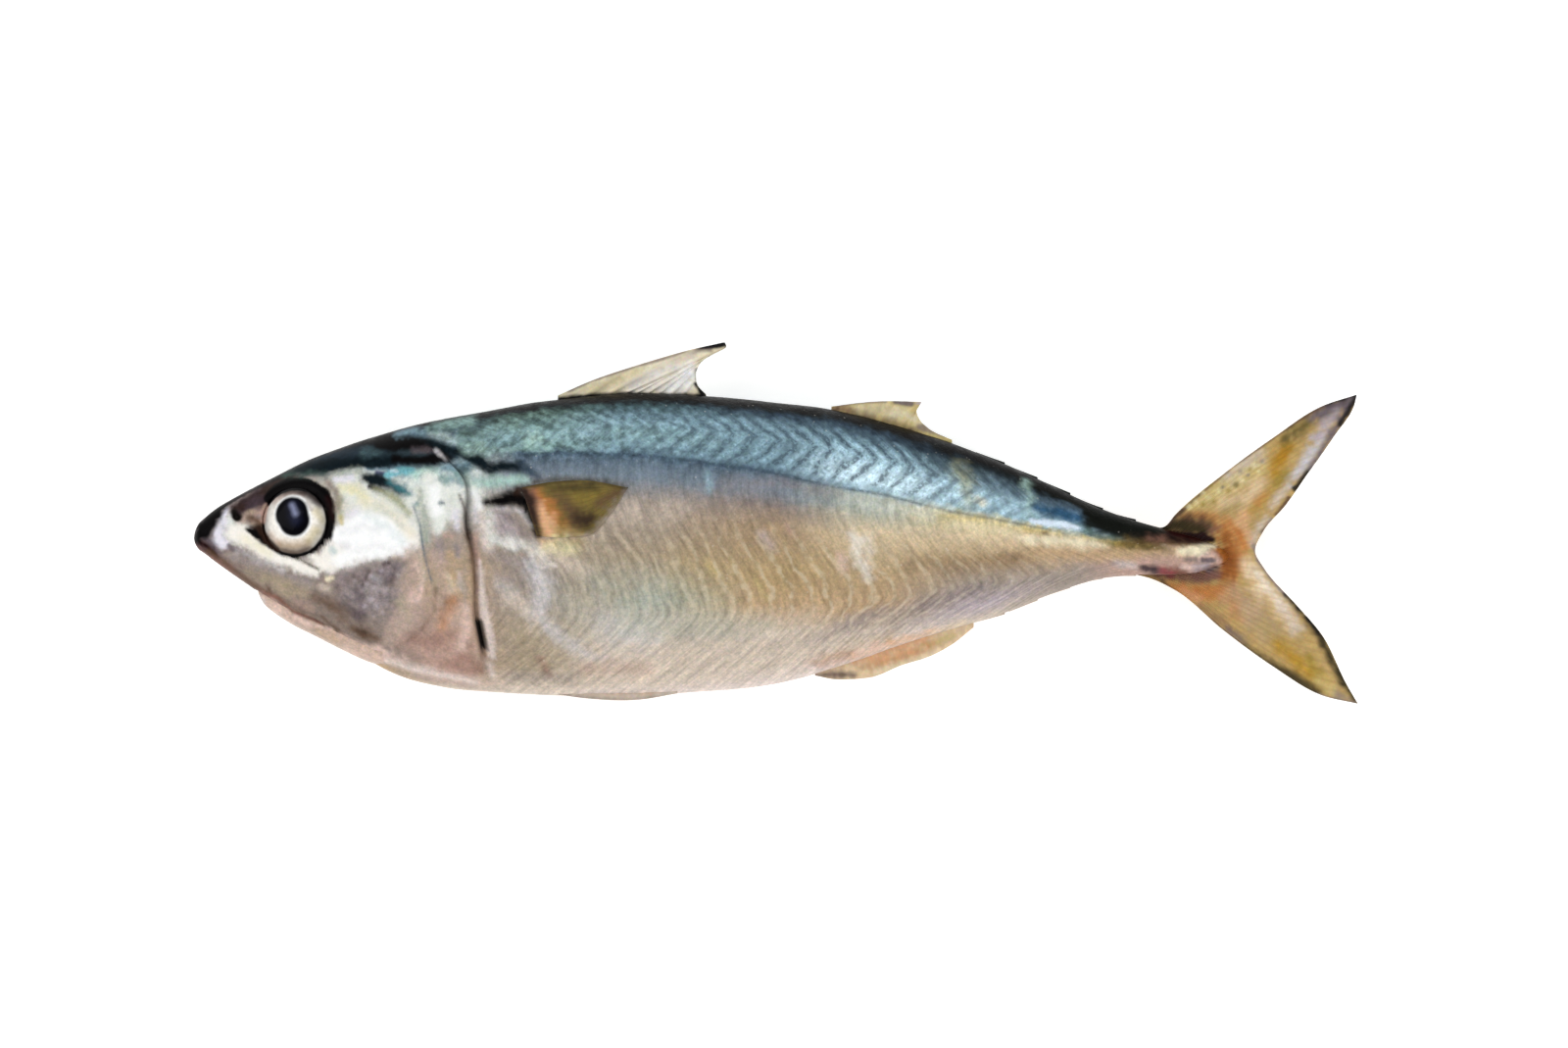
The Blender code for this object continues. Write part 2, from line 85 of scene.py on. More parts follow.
# Paints, named for what they are on a fish like this
palette = {
    "ink": "#090608", "soot": "#191411", "blackGreen": "#11150F", "deepTeal": "#0F1F26",
    "nightTeal": "#1F282C", "tealShade": "#2C3E46", "slate": "#3A4A58", "steel": "#5C6F7E",
    "paleSteel": "#808C97", "blueGrey": "#7E98A4", "seaBlue": "#8AA6AB", "iceBlue": "#A5C0CC",
    "paleIce": "#C5DCE6", "glint": "#DCE9F6", "seaGreen": "#86A19D", "paleSea": "#AAC6BE",
    "mossTeal": "#52696E", "mossGrey": "#5A6F68", "teal": "#7CB4BC", "dullTeal": "#4C8088",
    "deepBlue": "#2F5A7A", "violetBlue": "#3E446A",
    "white": "#FBFCFC", "bone": "#F5F1EA", "milk": "#E3E6E0", "silver": "#CCCACD",
    "lilacWhite": "#E5E3EC", "lilac": "#BBB0B6", "mauve": "#9C9292", "plum": "#766B70",
    "darkPlum": "#4C3E44", "cream": "#E8DFC4", "lemon": "#E6DFB2", "straw": "#D2C28C",
    "ochre": "#B6A070", "gold": "#B8922E", "oliveGold": "#A08C3C", "olive": "#7A6B3C",
    "darkOlive": "#483E24", "tan": "#BFA687", "sand": "#D0C3B5", "greyFawn": "#A69B92",
    "warmFawn": "#AD9F8A", "flankOchre": "#B5A080", "flankBrown": "#AE997E",
    "finCream": "#E4CDAC", "jawPink": "#CDB6A8", "pupilBlack": "#05050E", "eyeGlint": "#9AA0BC",
    "coverBeige": "#BDA99D", "thread": "#D6CBB4", "flankPale": "#D2C1A4", "tailGold": "#C0A570",
    "backGrey": "#6B7F88",
    "taupe": "#958880", "umber": "#6B5240", "darkBrown": "#3A2820", "peach": "#E0B48E",
    "orange": "#C8884E", "rust": "#A66C36", "deepRust": "#8E5420", "pink": "#DCC3B9",
    "rose": "#BCA094", "redBrown": "#8A665A", "crimson": "#984654", "maroon": "#2C0C0E",
    "bellyPink": "#DCCFC8", "greyGreen": "#B0B6AB", "sage": "#A5A78A", "paleBlueGreen": "#BDCFCF",
}


def smoothLine(points):
    # A smooth curve through the points, as a function of the first number
    xs, ys = (np.array(column, float) for column in zip(*points))
    steps = np.diff(xs)
    grades = np.diff(ys) / steps
    slopes = np.empty_like(ys)
    slopes[1:-1] = (grades[:-1] * steps[1:] + grades[1:] * steps[:-1]) / (steps[1:] + steps[:-1])
    slopes[0], slopes[-1] = grades[0], grades[-1]

    def at(x):
        x = np.clip(x, xs[0], xs[-1])
        i = np.clip(np.searchsorted(xs, x) - 1, 0, len(steps) - 1)
        t = (x - xs[i]) / steps[i]
        start = (1 + 2 * t) * (1 - t) ** 2 * ys[i] + t * (1 - t) ** 2 * steps[i] * slopes[i]
        return start + t * t * (3 - 2 * t) * ys[i + 1] + t * t * (t - 1) * steps[i] * slopes[i + 1]

    return at


def smoothPath(points):
    points = np.array(points, float)
    lengths = np.hypot(*np.diff(points, axis=0).T)
    shares = np.concatenate([[0], np.cumsum(lengths)]) / lengths.sum()
    along, across = smoothLine(zip(shares, points[:, 0])), smoothLine(zip(shares, points[:, 1]))
    return lambda share: np.stack([along(share), across(share)], axis=-1)


def smoothStep(x):
    x = np.clip(x, 0, 1)
    return x * x * (3 - 2 * x)


def bump(x, width):
    return np.exp(-((x / width) ** 2))


def plateau(x, low, rise, high, fall):
    # 0 outside low and high, and 1 between them past soft ends this wide
    return smoothStep((x - low) / rise) * smoothStep((high - x) / fall)


def fromPixels(points):
    # Picture pixels (and a radius, if there is one) to station, level and radius in mm
    size, (x0, y0) = fish["mmPerPixel"], fish["snoutPixel"]
    return [((p[0] - x0) * size, (y0 - p[1]) * size, *(r * size for r in p[2:])) for p in points]


def hexColour(text):
    channels = np.array([int(text[i:i + 2], 16) / 255 for i in (1, 3, 5)])
    return np.where(channels <= 0.04045, channels / 12.92, ((channels + 0.055) / 1.055) ** 2.4)


def paintColour(name):
    # a little deeper than its name, because the wet gloss and the pale room lift the darks
    return hexColour(palette[name]) ** 1.15


def latticeNoise(points, size, seed):
    # Smooth noise with grains of this size in mm, from -1 to 1
    table = np.random.default_rng(seed).uniform(-1, 1, 4096)
    grid = points / size
    base = np.floor(grid).astype(np.int64)
    part = grid - base
    part = part * part * (3 - 2 * part)
    total = np.zeros(len(points))
    for corner in range(8):
        step = np.array([corner & 1, corner >> 1 & 1, corner >> 2 & 1])
        cell = base + step
        key = (cell[:, 0] * 73856093 ^ cell[:, 1] * 19349663 ^ cell[:, 2] * 83492791) & 4095
        total += table[key] * np.prod(np.where(step, part, 1 - part), axis=1)
    return total


def raggedness(points, size, seed):
    # Two sizes of grain, which make the edges of the marks a little ragged
    return latticeNoise(points, size, seed) + 0.6 * latticeNoise(points, size / 2, seed + 1)


backAt, bellyAt = smoothLine(fish["back"]), smoothLine(fish["belly"])
halfWidthAt, spineAt = smoothLine(fish["halfWidth"]), smoothLine(fish["spine"])
widestAt, bellyRoundnessAt = smoothLine(fish["widest"]), smoothLine(fish["bellyRoundness"])
lateralAt = smoothLine(fish["lateral"])


def sectionSizes(station):
    back, belly = backAt(station), bellyAt(station)
    widest = belly + (back - belly) * widestAt(station)
    snout = np.clip(station / fish["snoutRadius"], 0, 1)
    stump = np.clip((fish["bodyEnd"] - station) / fish["stumpRadius"], 0, 1)
    closing = np.sqrt(1 - (1 - snout) ** 2) * np.sqrt(1 - (1 - stump) ** 2)
    return widest, (back - widest) * closing, (widest - belly) * closing, halfWidthAt(station) * closing


def sectionPoint(station, angle):
    widest, above, below, halfWidth = sectionSizes(station)
    up, side = np.cos(angle), np.sin(angle)
    roundness = np.where(up > 0, fish["backRoundness"], bellyRoundnessAt(station))
    level = widest + np.where(up > 0, above, below) * np.sign(up) * np.abs(up) ** (2 / roundness)
    return level, halfWidth * np.sign(side) * np.abs(side) ** (2 / roundness)


def flankAside(station, level):
    # How far the skin stands from the middle plane
    widest, above, below, halfWidth = sectionSizes(station)
    up = level > widest
    roundness = np.where(up, fish["backRoundness"], bellyRoundnessAt(station))
    share = np.clip(np.abs(level - widest) / np.maximum(np.where(up, above, below), 0.01), 0, 1)
    return halfWidth * (1 - share ** roundness) ** (1 / roundness)


def place(station, level, aside):
    # The fish's own measures to metres in the frame, pressed flat where it lies
    height = np.maximum(spineAt(station) + aside, 0.0)
    return np.stack([fish["snoutX"] + station, fish["snoutY"] + level, height], axis=-1) * 0.001


def strokeReach(station, level, points):
    # How far inside a brush stroke of (station, level, radius) points a place is, in mm
    best = np.full(np.shape(station), -1e9)
    for (s0, h0, r0), (s1, h1, r1) in zip(points, points[1:] or points):
        ds, dh = s1 - s0, h1 - h0
        length = max(ds * ds + dh * dh, 1e-9)
        t = np.clip(((station - s0) * ds + (level - h0) * dh) / length, 0, 1)
        away = np.hypot(station - s0 - ds * t, level - h0 - dh * t)
        best = np.maximum(best, r0 + (r1 - r0) * t - away)
    return best


def lineDistance(station, level, pixels):
    return -strokeReach(station, level, [(*p[:2], 0.0) for p in fromPixels(pixels)])


def meshCoords(mesh):
    coords = np.empty(len(mesh.vertices) * 3)
    mesh.vertices.foreach_get("co", coords)
    return coords.reshape(-1, 3)


def setCoords(mesh, coords):
    mesh.vertices.foreach_set("co", np.asarray(coords, np.float32).ravel())
    mesh.update()


def turnOutwards(mesh):
    bm = bmesh.new()
    bm.from_mesh(mesh)
    bmesh.ops.recalc_face_normals(bm, faces=bm.faces)
    bm.to_mesh(mesh)
    bm.free()


def setNumbers(mesh, name, values):
    made = mesh.attributes.new(name, "FLOAT", "POINT")
    made.data.foreach_set("value", np.asarray(values, np.float32))


def setPaint(mesh, colours):
    made = mesh.attributes.new("paint", "FLOAT_COLOR", "POINT")
    full = np.concatenate([np.clip(colours, 0, 1), np.ones((len(colours), 1))], axis=1)
    made.data.foreach_set("color", full.astype(np.float32).ravel())


def newPiece(name, bm):
    mesh = bpy.data.meshes.new(name)
    bmesh.ops.recalc_face_normals(bm, faces=bm.faces)
    bm.to_mesh(mesh)
    bm.free()
    piece = bpy.data.objects.new(name, mesh)
    bpy.context.scene.collection.objects.link(piece)
    mesh.shade_smooth()
    return piece


def ballPiece(name, segments, rings):
    # A ball of radius 1, its vertices, and the ring of each one from the top down
    bm = bmesh.new()
    bmesh.ops.create_uvsphere(bm, u_segments=segments, v_segments=rings, radius=1)
    piece = newPiece(name, bm)
    ball = meshCoords(piece.data)
    return piece, ball, np.round(np.arccos(np.clip(ball[:, 2], -1, 1)) / math.pi * rings).astype(int)


def finishPiece(piece, finish, node):
    piece.data.materials.append(finish)
    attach(piece, "root")
    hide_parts(node)


def blend(colours, tone, share):
    return colours + (tone - colours) * share[:, None]


def evenCoat(name, station):
    return np.repeat(paintColour(name)[None, :], len(station), axis=0)


def bandColours(station, level, bands):
    # Colours from belly (-1) over the lateral line (0) to the back (1), blended from band to band
    lateral = lateralAt(station)
    up = (level - lateral) / np.maximum(backAt(station) - lateral, 0.5)
    down = (level - lateral) / np.maximum(lateral - bellyAt(station), 0.5)
    where = np.clip(np.where(level > lateral, up, down), -1, 1)
    layers = []
    for _, stops in bands:
        places = [stop for stop, _ in stops]
        tones = np.array([paintColour(name) for _, name in stops])
        layers.append(np.stack([np.interp(where, places, tones[:, c]) for c in range(3)], axis=-1))
    stations = np.array([start for start, _ in bands], float)
    i = np.clip(np.searchsorted(stations, station) - 1, 0, len(bands) - 2)
    share = smoothStep((station - stations[i]) / (stations[i + 1] - stations[i]))[:, None]
    stack = np.array(layers)
    rows = np.arange(len(station))
    return stack[i, rows] * (1 - share) + stack[i + 1, rows] * share


def paintMarks(colours, station, level, grain, marks):
    # A mark is a stroke of one paint: the softness of its edge in pixels, its strength, and the
    # places of the brush with their radius, in the picture's pixels
    for paint, soft, strength, *places in marks:
        soft = soft * (2.0 if soft >= 4 else 1.3) * fish["mmPerPixel"]
        reach = strokeReach(station, level, fromPixels(places)) + grain * 0.2 * soft
        colours = blend(colours, paintColour(paint), smoothStep(reach / soft + 0.5) * strength)
    return colours


# The skin's ground colours: a station, then the paints there from the belly to the back
skinBands = (
    (2, ((-1, "redBrown"), (-0.6, "plum"), (-0.2, "lilac"), (0, "mauve"), (0.3, "soot"), (1, "ink"))),
    (16, (
        (-1, "umber"), (-0.85, "taupe"), (-0.5, "taupe"), (-0.2, "tan"), (0, "darkPlum"), (0.3, "soot"),
        (1, "ink"))),
    (36, (
        (-1, "tan"), (-0.95, "taupe"), (-0.8, "taupe"), (-0.6, "mauve"), (-0.4, "greyFawn"),
            (-0.25, "milk"),
        (-0.05, "milk"), (0.08, "blueGrey"), (0.25, "tealShade"), (0.7, "nightTeal"), (0.9, "ink"),
            (1, "ink"))),
    (49, (
        (-1, "sand"), (-0.96, "rose"), (-0.8, "rose"), (-0.5, "tan"), (-0.3, "greyFawn"), (-0.1, "milk"),
        (0.05, "paleBlueGreen"), (0.22, "slate"), (0.5, "backGrey"), (0.78, "slate"), (0.9, "ink"),
            (1, "ink"))),
    (62, (
        (-1, "sand"), (-0.97, "sand"), (-0.9, "warmFawn"), (-0.75, "warmFawn"), (-0.6, "greyFawn"),
        (-0.2, "greyFawn"), (-0.08, "paleSteel"), (0, "steel"), (0.12, "seaGreen"), (0.35, "seaBlue"),
        (0.6, "seaGreen"), (0.78, "mossGrey"), (0.88, "nightTeal"), (0.93, "ink"), (1, "ink"))),
    (84, (
        (-1, "bellyPink"), (-0.95, "sand"), (-0.8, "sand"), (-0.6, "greyGreen"), (-0.42, "warmFawn"),
        (-0.2, "greyFawn"), (-0.09, "paleSteel"), (0, "steel"), (0.1, "blueGrey"), (0.35, "seaBlue"),
        (0.6, "blueGrey"), (0.78, "mossTeal"), (0.86, "nightTeal"), (0.9, "ink"), (1, "ink"))),
    (110, (
        (-1, "bellyPink"), (-0.9, "sand"), (-0.76, "sand"), (-0.62, "tan"), (-0.45, "flankOchre"),
        (-0.26, "flankBrown"), (-0.16, "taupe"), (-0.08, "paleSteel"), (0, "steel"), (0.12, "blueGrey"),
        (0.66, "blueGrey"), (0.82, "slate"), (0.88, "nightTeal"), (0.92, "ink"), (1, "ink"))),
    (128, (
        (-1, "bellyPink"), (-0.85, "sand"), (-0.7, "tan"), (-0.5, "flankOchre"), (-0.25, "flankPale"),
        (-0.1, "greyGreen"), (-0.03, "greyGreen"), (0.02, "iceBlue"), (0.12, "paleIce"), (0.26, "paleIce"),
        (0.44, "iceBlue"), (0.62, "blueGrey"), (0.8, "slate"), (0.87, "nightTeal"), (0.9, "ink"),
            (1, "ink"))),
    (148, (
        (-1, "sand"), (-0.85, "lilac"), (-0.65, "greyFawn"), (-0.4, "flankOchre"), (-0.2, "flankPale"),
        (-0.05, "straw"), (0.1, "iceBlue"), (0.35, "iceBlue"), (0.55, "backGrey"), (0.76, "nightTeal"),
        (0.86, "ink"), (1, "ink"))),
    (166, (
        (-1, "greyFawn"), (-0.7, "greyFawn"), (-0.4, "tan"), (-0.15, "tan"), (-0.03, "straw"),
            (0.1, "iceBlue"),
        (0.34, "blueGrey"), (0.58, "steel"), (0.8, "blackGreen"), (1, "ink"))),
    (179, (
        (-1, "rose"), (-0.6, "rose"), (-0.25, "tan"), (0, "olive"), (0.22, "darkOlive"),
            (0.5, "blackGreen"),
        (1, "blackGreen"))),
    (191, ((-1, "redBrown"), (-0.5, "rose"), (-0.1, "pink"), (0.3, "umber"), (0.6, "maroon"),
        (1, "umber"))),
    (194, ((-1, "orange"), (-0.3, "rust"), (0.4, "rust"), (1, "umber"))),
)

snoutMarks = (
    ("greyFawn", 6, 0.9, (228, 562, 4), (246, 570, 6), (264, 578, 7), (290, 588, 7), (318, 597, 6)),
    ("mauve", 5, 0.7, (240, 566, 4), (262, 575, 4), (292, 586, 4), (318, 592, 3)),
    ("taupe", 7, 0.9, (246, 580, 4), (276, 592, 7), (300, 602, 8), (322, 614, 6)),
    ("warmFawn", 6, 0.8, (272, 586, 4), (296, 600, 6), (312, 604, 5)),
    ("rose", 6, 0.5, (304, 614, 4), (318, 620, 3)),
    ("milk", 5, 0.95, (236, 526, 5), (234, 540, 9), (244, 546, 9), (254, 540, 5)),
    ("lilacWhite", 4, 1, (232, 519, 2.5), (229, 531, 5), (223, 545, 6.5), (229, 554, 6)),
    ("warmFawn", 8, 0.55, (256, 583, 4), (276, 592, 6), (296, 602, 7)),
    ("plum", 4, 0.9, (213, 548, 3), (216, 556, 3), (226, 564, 3)),
    ("maroon", 4, 1, (202, 550, 4), (212, 557, 3.5), (222, 566, 2.5)),
    ("mauve", 3, 0.8, (218, 536, 2), (217, 546, 3)),
    ("bone", 5, 1, (240, 544, 8), (254, 548, 9), (270, 559, 9), (290, 569, 8), (308, 576, 7),
        (324, 583, 4)),
    ("lemon", 6, 0.35, (250, 548, 5), (264, 556, 5), (276, 563, 4)),
    ("silver", 5, 0.5, (244, 560, 2.4), (266, 571, 2.4), (290, 580, 2.4)),
    ("plum", 3, 0.8, (235, 556, 2.2), (239, 560, 2)),
    ("silver", 4, 0.8, (226, 534, 3), (231, 539, 3)),
    ("ink", 4, 1, (202, 548, 6), (209, 540, 9.5), (217, 529, 8.5), (225, 518, 6), (234, 511, 4)),
    ("darkPlum", 4, 1, (242, 521, 7), (250, 514, 8), (262, 508, 9), (276, 499, 9), (292, 490, 6)),
    ("darkBrown", 4, 0.9, (270, 500, 6), (284, 490, 5), (300, 484, 4)),
    ("plum", 4, 0.8, (262, 516, 4), (266, 523, 4), (258, 528, 3)),
    ("darkBrown", 4, 0.6, (246, 514, 4), (254, 509, 5), (262, 504, 4)),
    ("darkBrown", 4, 0.8, (241, 517, 4), (248, 518, 3)),
    # painted shade in the nostril's pit
    ("soot", 3, 1, (240, 521, 3.5), (244, 527, 4.5)),
    ("lilac", 5, 0.8, (267, 524, 2.5), (264, 529, 2)),
    ("bone", 4, 0.9, (246, 537, 3), (252, 538, 2)),
    ("ink", 2.5, 0.9, (231, 514, 2), (256, 500, 2), (284, 486, 2.5), (310, 474, 3), (344, 458, 3)),
    ("umber", 4, 0.9, (214, 562, 1.6), (228, 571, 1.6), (244, 584, 1.6), (262, 599, 1.8)),
    ("redBrown", 4, 0.6, (262, 602, 2), (276, 606, 2.5), (290, 614, 2)),
)

eyeRingMarks = (
    ("darkBrown", 4, 1, (274, 500, 5), (267, 510, 4)),
    ("darkPlum", 4, 0.9, (258, 512, 5), (268, 510, 5), (266, 519, 4)),
    ("umber", 4, 0.9, (258, 528, 4), (266, 532, 4)),
    ("rose", 4, 0.9, (263, 523, 3), (269, 521, 3)),
    ("darkBrown", 4, 1, (257, 537, 2.4), (265, 540, 5), (272, 547, 6)),
    ("ink", 2.5, 1, (253, 539, 2), (264, 545, 4.5), (276, 553, 5), (286, 559, 5.5), (303, 563, 6),
        (319, 558, 6),
        (333, 547, 6.4), (338.5, 531, 6), (338.5, 517, 6), (331, 504, 8), (314, 496, 9), (298, 495, 9),
            (284, 500, 7),
        (275, 508, 5)),
    ("maroon", 4, 0.7, (336, 508, 2), (340, 518, 2), (341.5, 528, 2)),
    ("mossGrey", 5, 0.5, (292, 484, 2), (306, 483, 2.4), (322, 483, 2.4), (334, 484, 2)),
    ("taupe", 4, 0.9, (336, 492, 3), (343, 500, 3.5), (347, 510, 3.5), (347, 520, 3)),
    ("sage", 4, 0.5, (349, 508, 3), (349, 526, 3)),
)

# in front of the eye, pale skin runs right up to the iris, so both are painted
eyeFrontMarks = (
    ("rose", 3, 0.9, (272, 516, 2), (270, 523, 2.4), (269, 530, 2)),
    ("darkBrown", 3, 0.95, (266, 539, 3), (273, 550, 3.6), (283, 559, 3.4)),
)

headTopMarks = (
    ("deepTeal", 4, 1, (296, 479, 5), (314, 476, 9), (334, 473, 10), (360, 470, 8), (386, 470, 6),
        (404, 470, 4)),
    ("slate", 5, 0.4, (312, 466, 3), (340, 461, 4), (372, 460, 5), (392, 460, 4)),
    ("mossTeal", 5, 0.7, (372, 462, 4), (388, 460, 4)),
    ("deepTeal", 2.5, 0.9, (326, 474, 2), (360, 474, 2.5), (398, 473, 3)),
    ("greyGreen", 5, 0.9, (346, 484, 3), (356, 482, 3), (368, 480, 3.5)),
    ("lilacWhite", 4, 0.9, (344, 489, 3), (352, 489, 4), (360, 487, 3)),
    ("violetBlue", 3, 0.9, (386, 482, 3), (392, 483, 3)),
    ("mossTeal", 6, 0.7, (384, 491, 6), (398, 497, 6), (411, 504, 4)),
    ("deepTeal", 4, 1, (374, 487, 5), (390, 491, 7), (402, 495, 5), (411, 501, 4)),
    ("dullTeal", 4, 0.9, (399, 492, 3), (412, 499, 4), (419, 504, 3)),
    ("soot", 2.5, 0.9, (378, 496, 2.5), (392, 500, 2)),
    ("teal", 3, 1, (396, 484, 3), (404, 482, 4), (412, 479, 4), (421, 480, 4)),
    ("glint", 3, 0.6, (401, 480, 1.5), (406, 480, 1.5)),
    ("paleSea", 4, 0.9, (424, 485, 4), (436, 481, 4), (446, 481, 3)),
    ("blueGrey", 5, 0.95, (456, 478, 5), (468, 478, 7), (478, 474, 6)),
    ("seaGreen", 5, 0.8, (458, 488, 4), (468, 486, 6), (478, 484, 4)),
    ("ink", 4, 1, (388, 453, 6), (408, 451, 9), (424, 452, 8), (442, 455, 7), (456, 461, 5)),
    ("plum", 4, 0.8, (424, 459, 3), (438, 459, 3)),
    ("ink", 4, 1, (406, 468, 5), (428, 469, 7), (446, 468, 6.5), (458, 468, 4)),
    ("blueGrey", 5, 0.9, (408, 441, 4), (422, 439, 4), (434, 441, 3)),
    ("paleBlueGreen", 5, 0.75, (442, 443, 3), (454, 444, 4), (464, 448, 4)),
    ("seaGreen", 5, 0.7, (470, 444, 5), (476, 452, 5)),
    ("seaGreen", 4, 0.6, (438, 438, 3), (446, 440, 2)),
    ("seaGreen", 6, 0.9, (446, 434, 4), (462, 431, 6), (480, 428, 6)),
    ("deepTeal", 4, 1, (440, 450, 3), (458, 458, 4.5), (474, 463, 5), (489, 471, 5), (503, 480, 4)),
    ("silver", 3, 0.7, (446, 459, 2), (456, 468, 2)),
    ("blueGrey", 6, 0.6, (464, 491, 4), (474, 494, 4)),
    ("seaGreen", 9, 0.5, (482, 446, 5), (500, 445, 6)),
)

cheekMarks = (
    ("milk", 6, 1, (348, 500, 6), (374, 512, 8), (404, 532, 10), (424, 540, 6)),
    # the silver cheek's own pale colour, brightened to white as a painted reflection of its sheen
    ("bone", 7, 1, (334, 577, 5), (352, 566, 12), (376, 548, 20), (404, 546, 18), (422, 550, 8)),
    ("bone", 4, 1, (318, 565, 4), (330, 572, 7), (338, 560, 9)),
    ("white", 6, 1, (350, 545, 12), (372, 540, 18), (396, 545, 18), (414, 556, 10)),
    ("white", 5, 0.9, (345, 573, 6), (366, 562, 10), (392, 560, 9)),
    ("lemon", 6, 0.7, (350, 497, 4), (366, 500, 5), (374, 506, 4)),
    ("cream", 7, 0.5, (370, 512, 5), (396, 516, 5), (420, 545, 5)),
    ("silver", 7, 0.3, (352, 540, 3), (372, 536, 3), (388, 540, 2)),
    ("silver", 6, 0.3, (360, 562, 2), (384, 556, 2), (404, 560, 2)),
    ("paleBlueGreen", 6, 0.35, (376, 526, 3), (400, 538, 3), (412, 552, 3)),
    ("greyGreen", 5, 0.45, (386, 516, 2), (402, 526, 2), (412, 538, 2)),
    ("lilacWhite", 5, 0.7, (358, 524, 4), (366, 520, 3)),
    ("straw", 3, 0.8, (349, 527, 2.5), (350, 533, 2)),
    ("paleBlueGreen", 4, 0.8, (339, 559, 2), (342, 562, 2)),
    ("silver", 4, 0.6, (350, 556, 2), (356, 556, 2)),
    ("sage", 4, 0.9, (384, 499, 2.5), (398, 504, 4), (410, 512, 4), (419, 523, 2.5)),
    ("greyGreen", 5, 0.9, (430, 500, 4), (435, 524, 4), (437, 550, 4)),
    ("taupe", 5, 0.7, (336, 595, 5), (350, 592, 5)),
    ("cream", 3, 0.9, (336, 590, 3), (341, 589, 2)),
    ("sand", 4, 0.8, (330, 598, 3), (337, 600, 3)),
    ("bone", 5, 0.9, (318, 583, 3), (330, 580, 4), (340, 577, 4)),
    ("darkOlive", 2.4, 0.8, (303, 568, 1.6), (312, 572.5, 1.4), (326, 580, 1)),
)

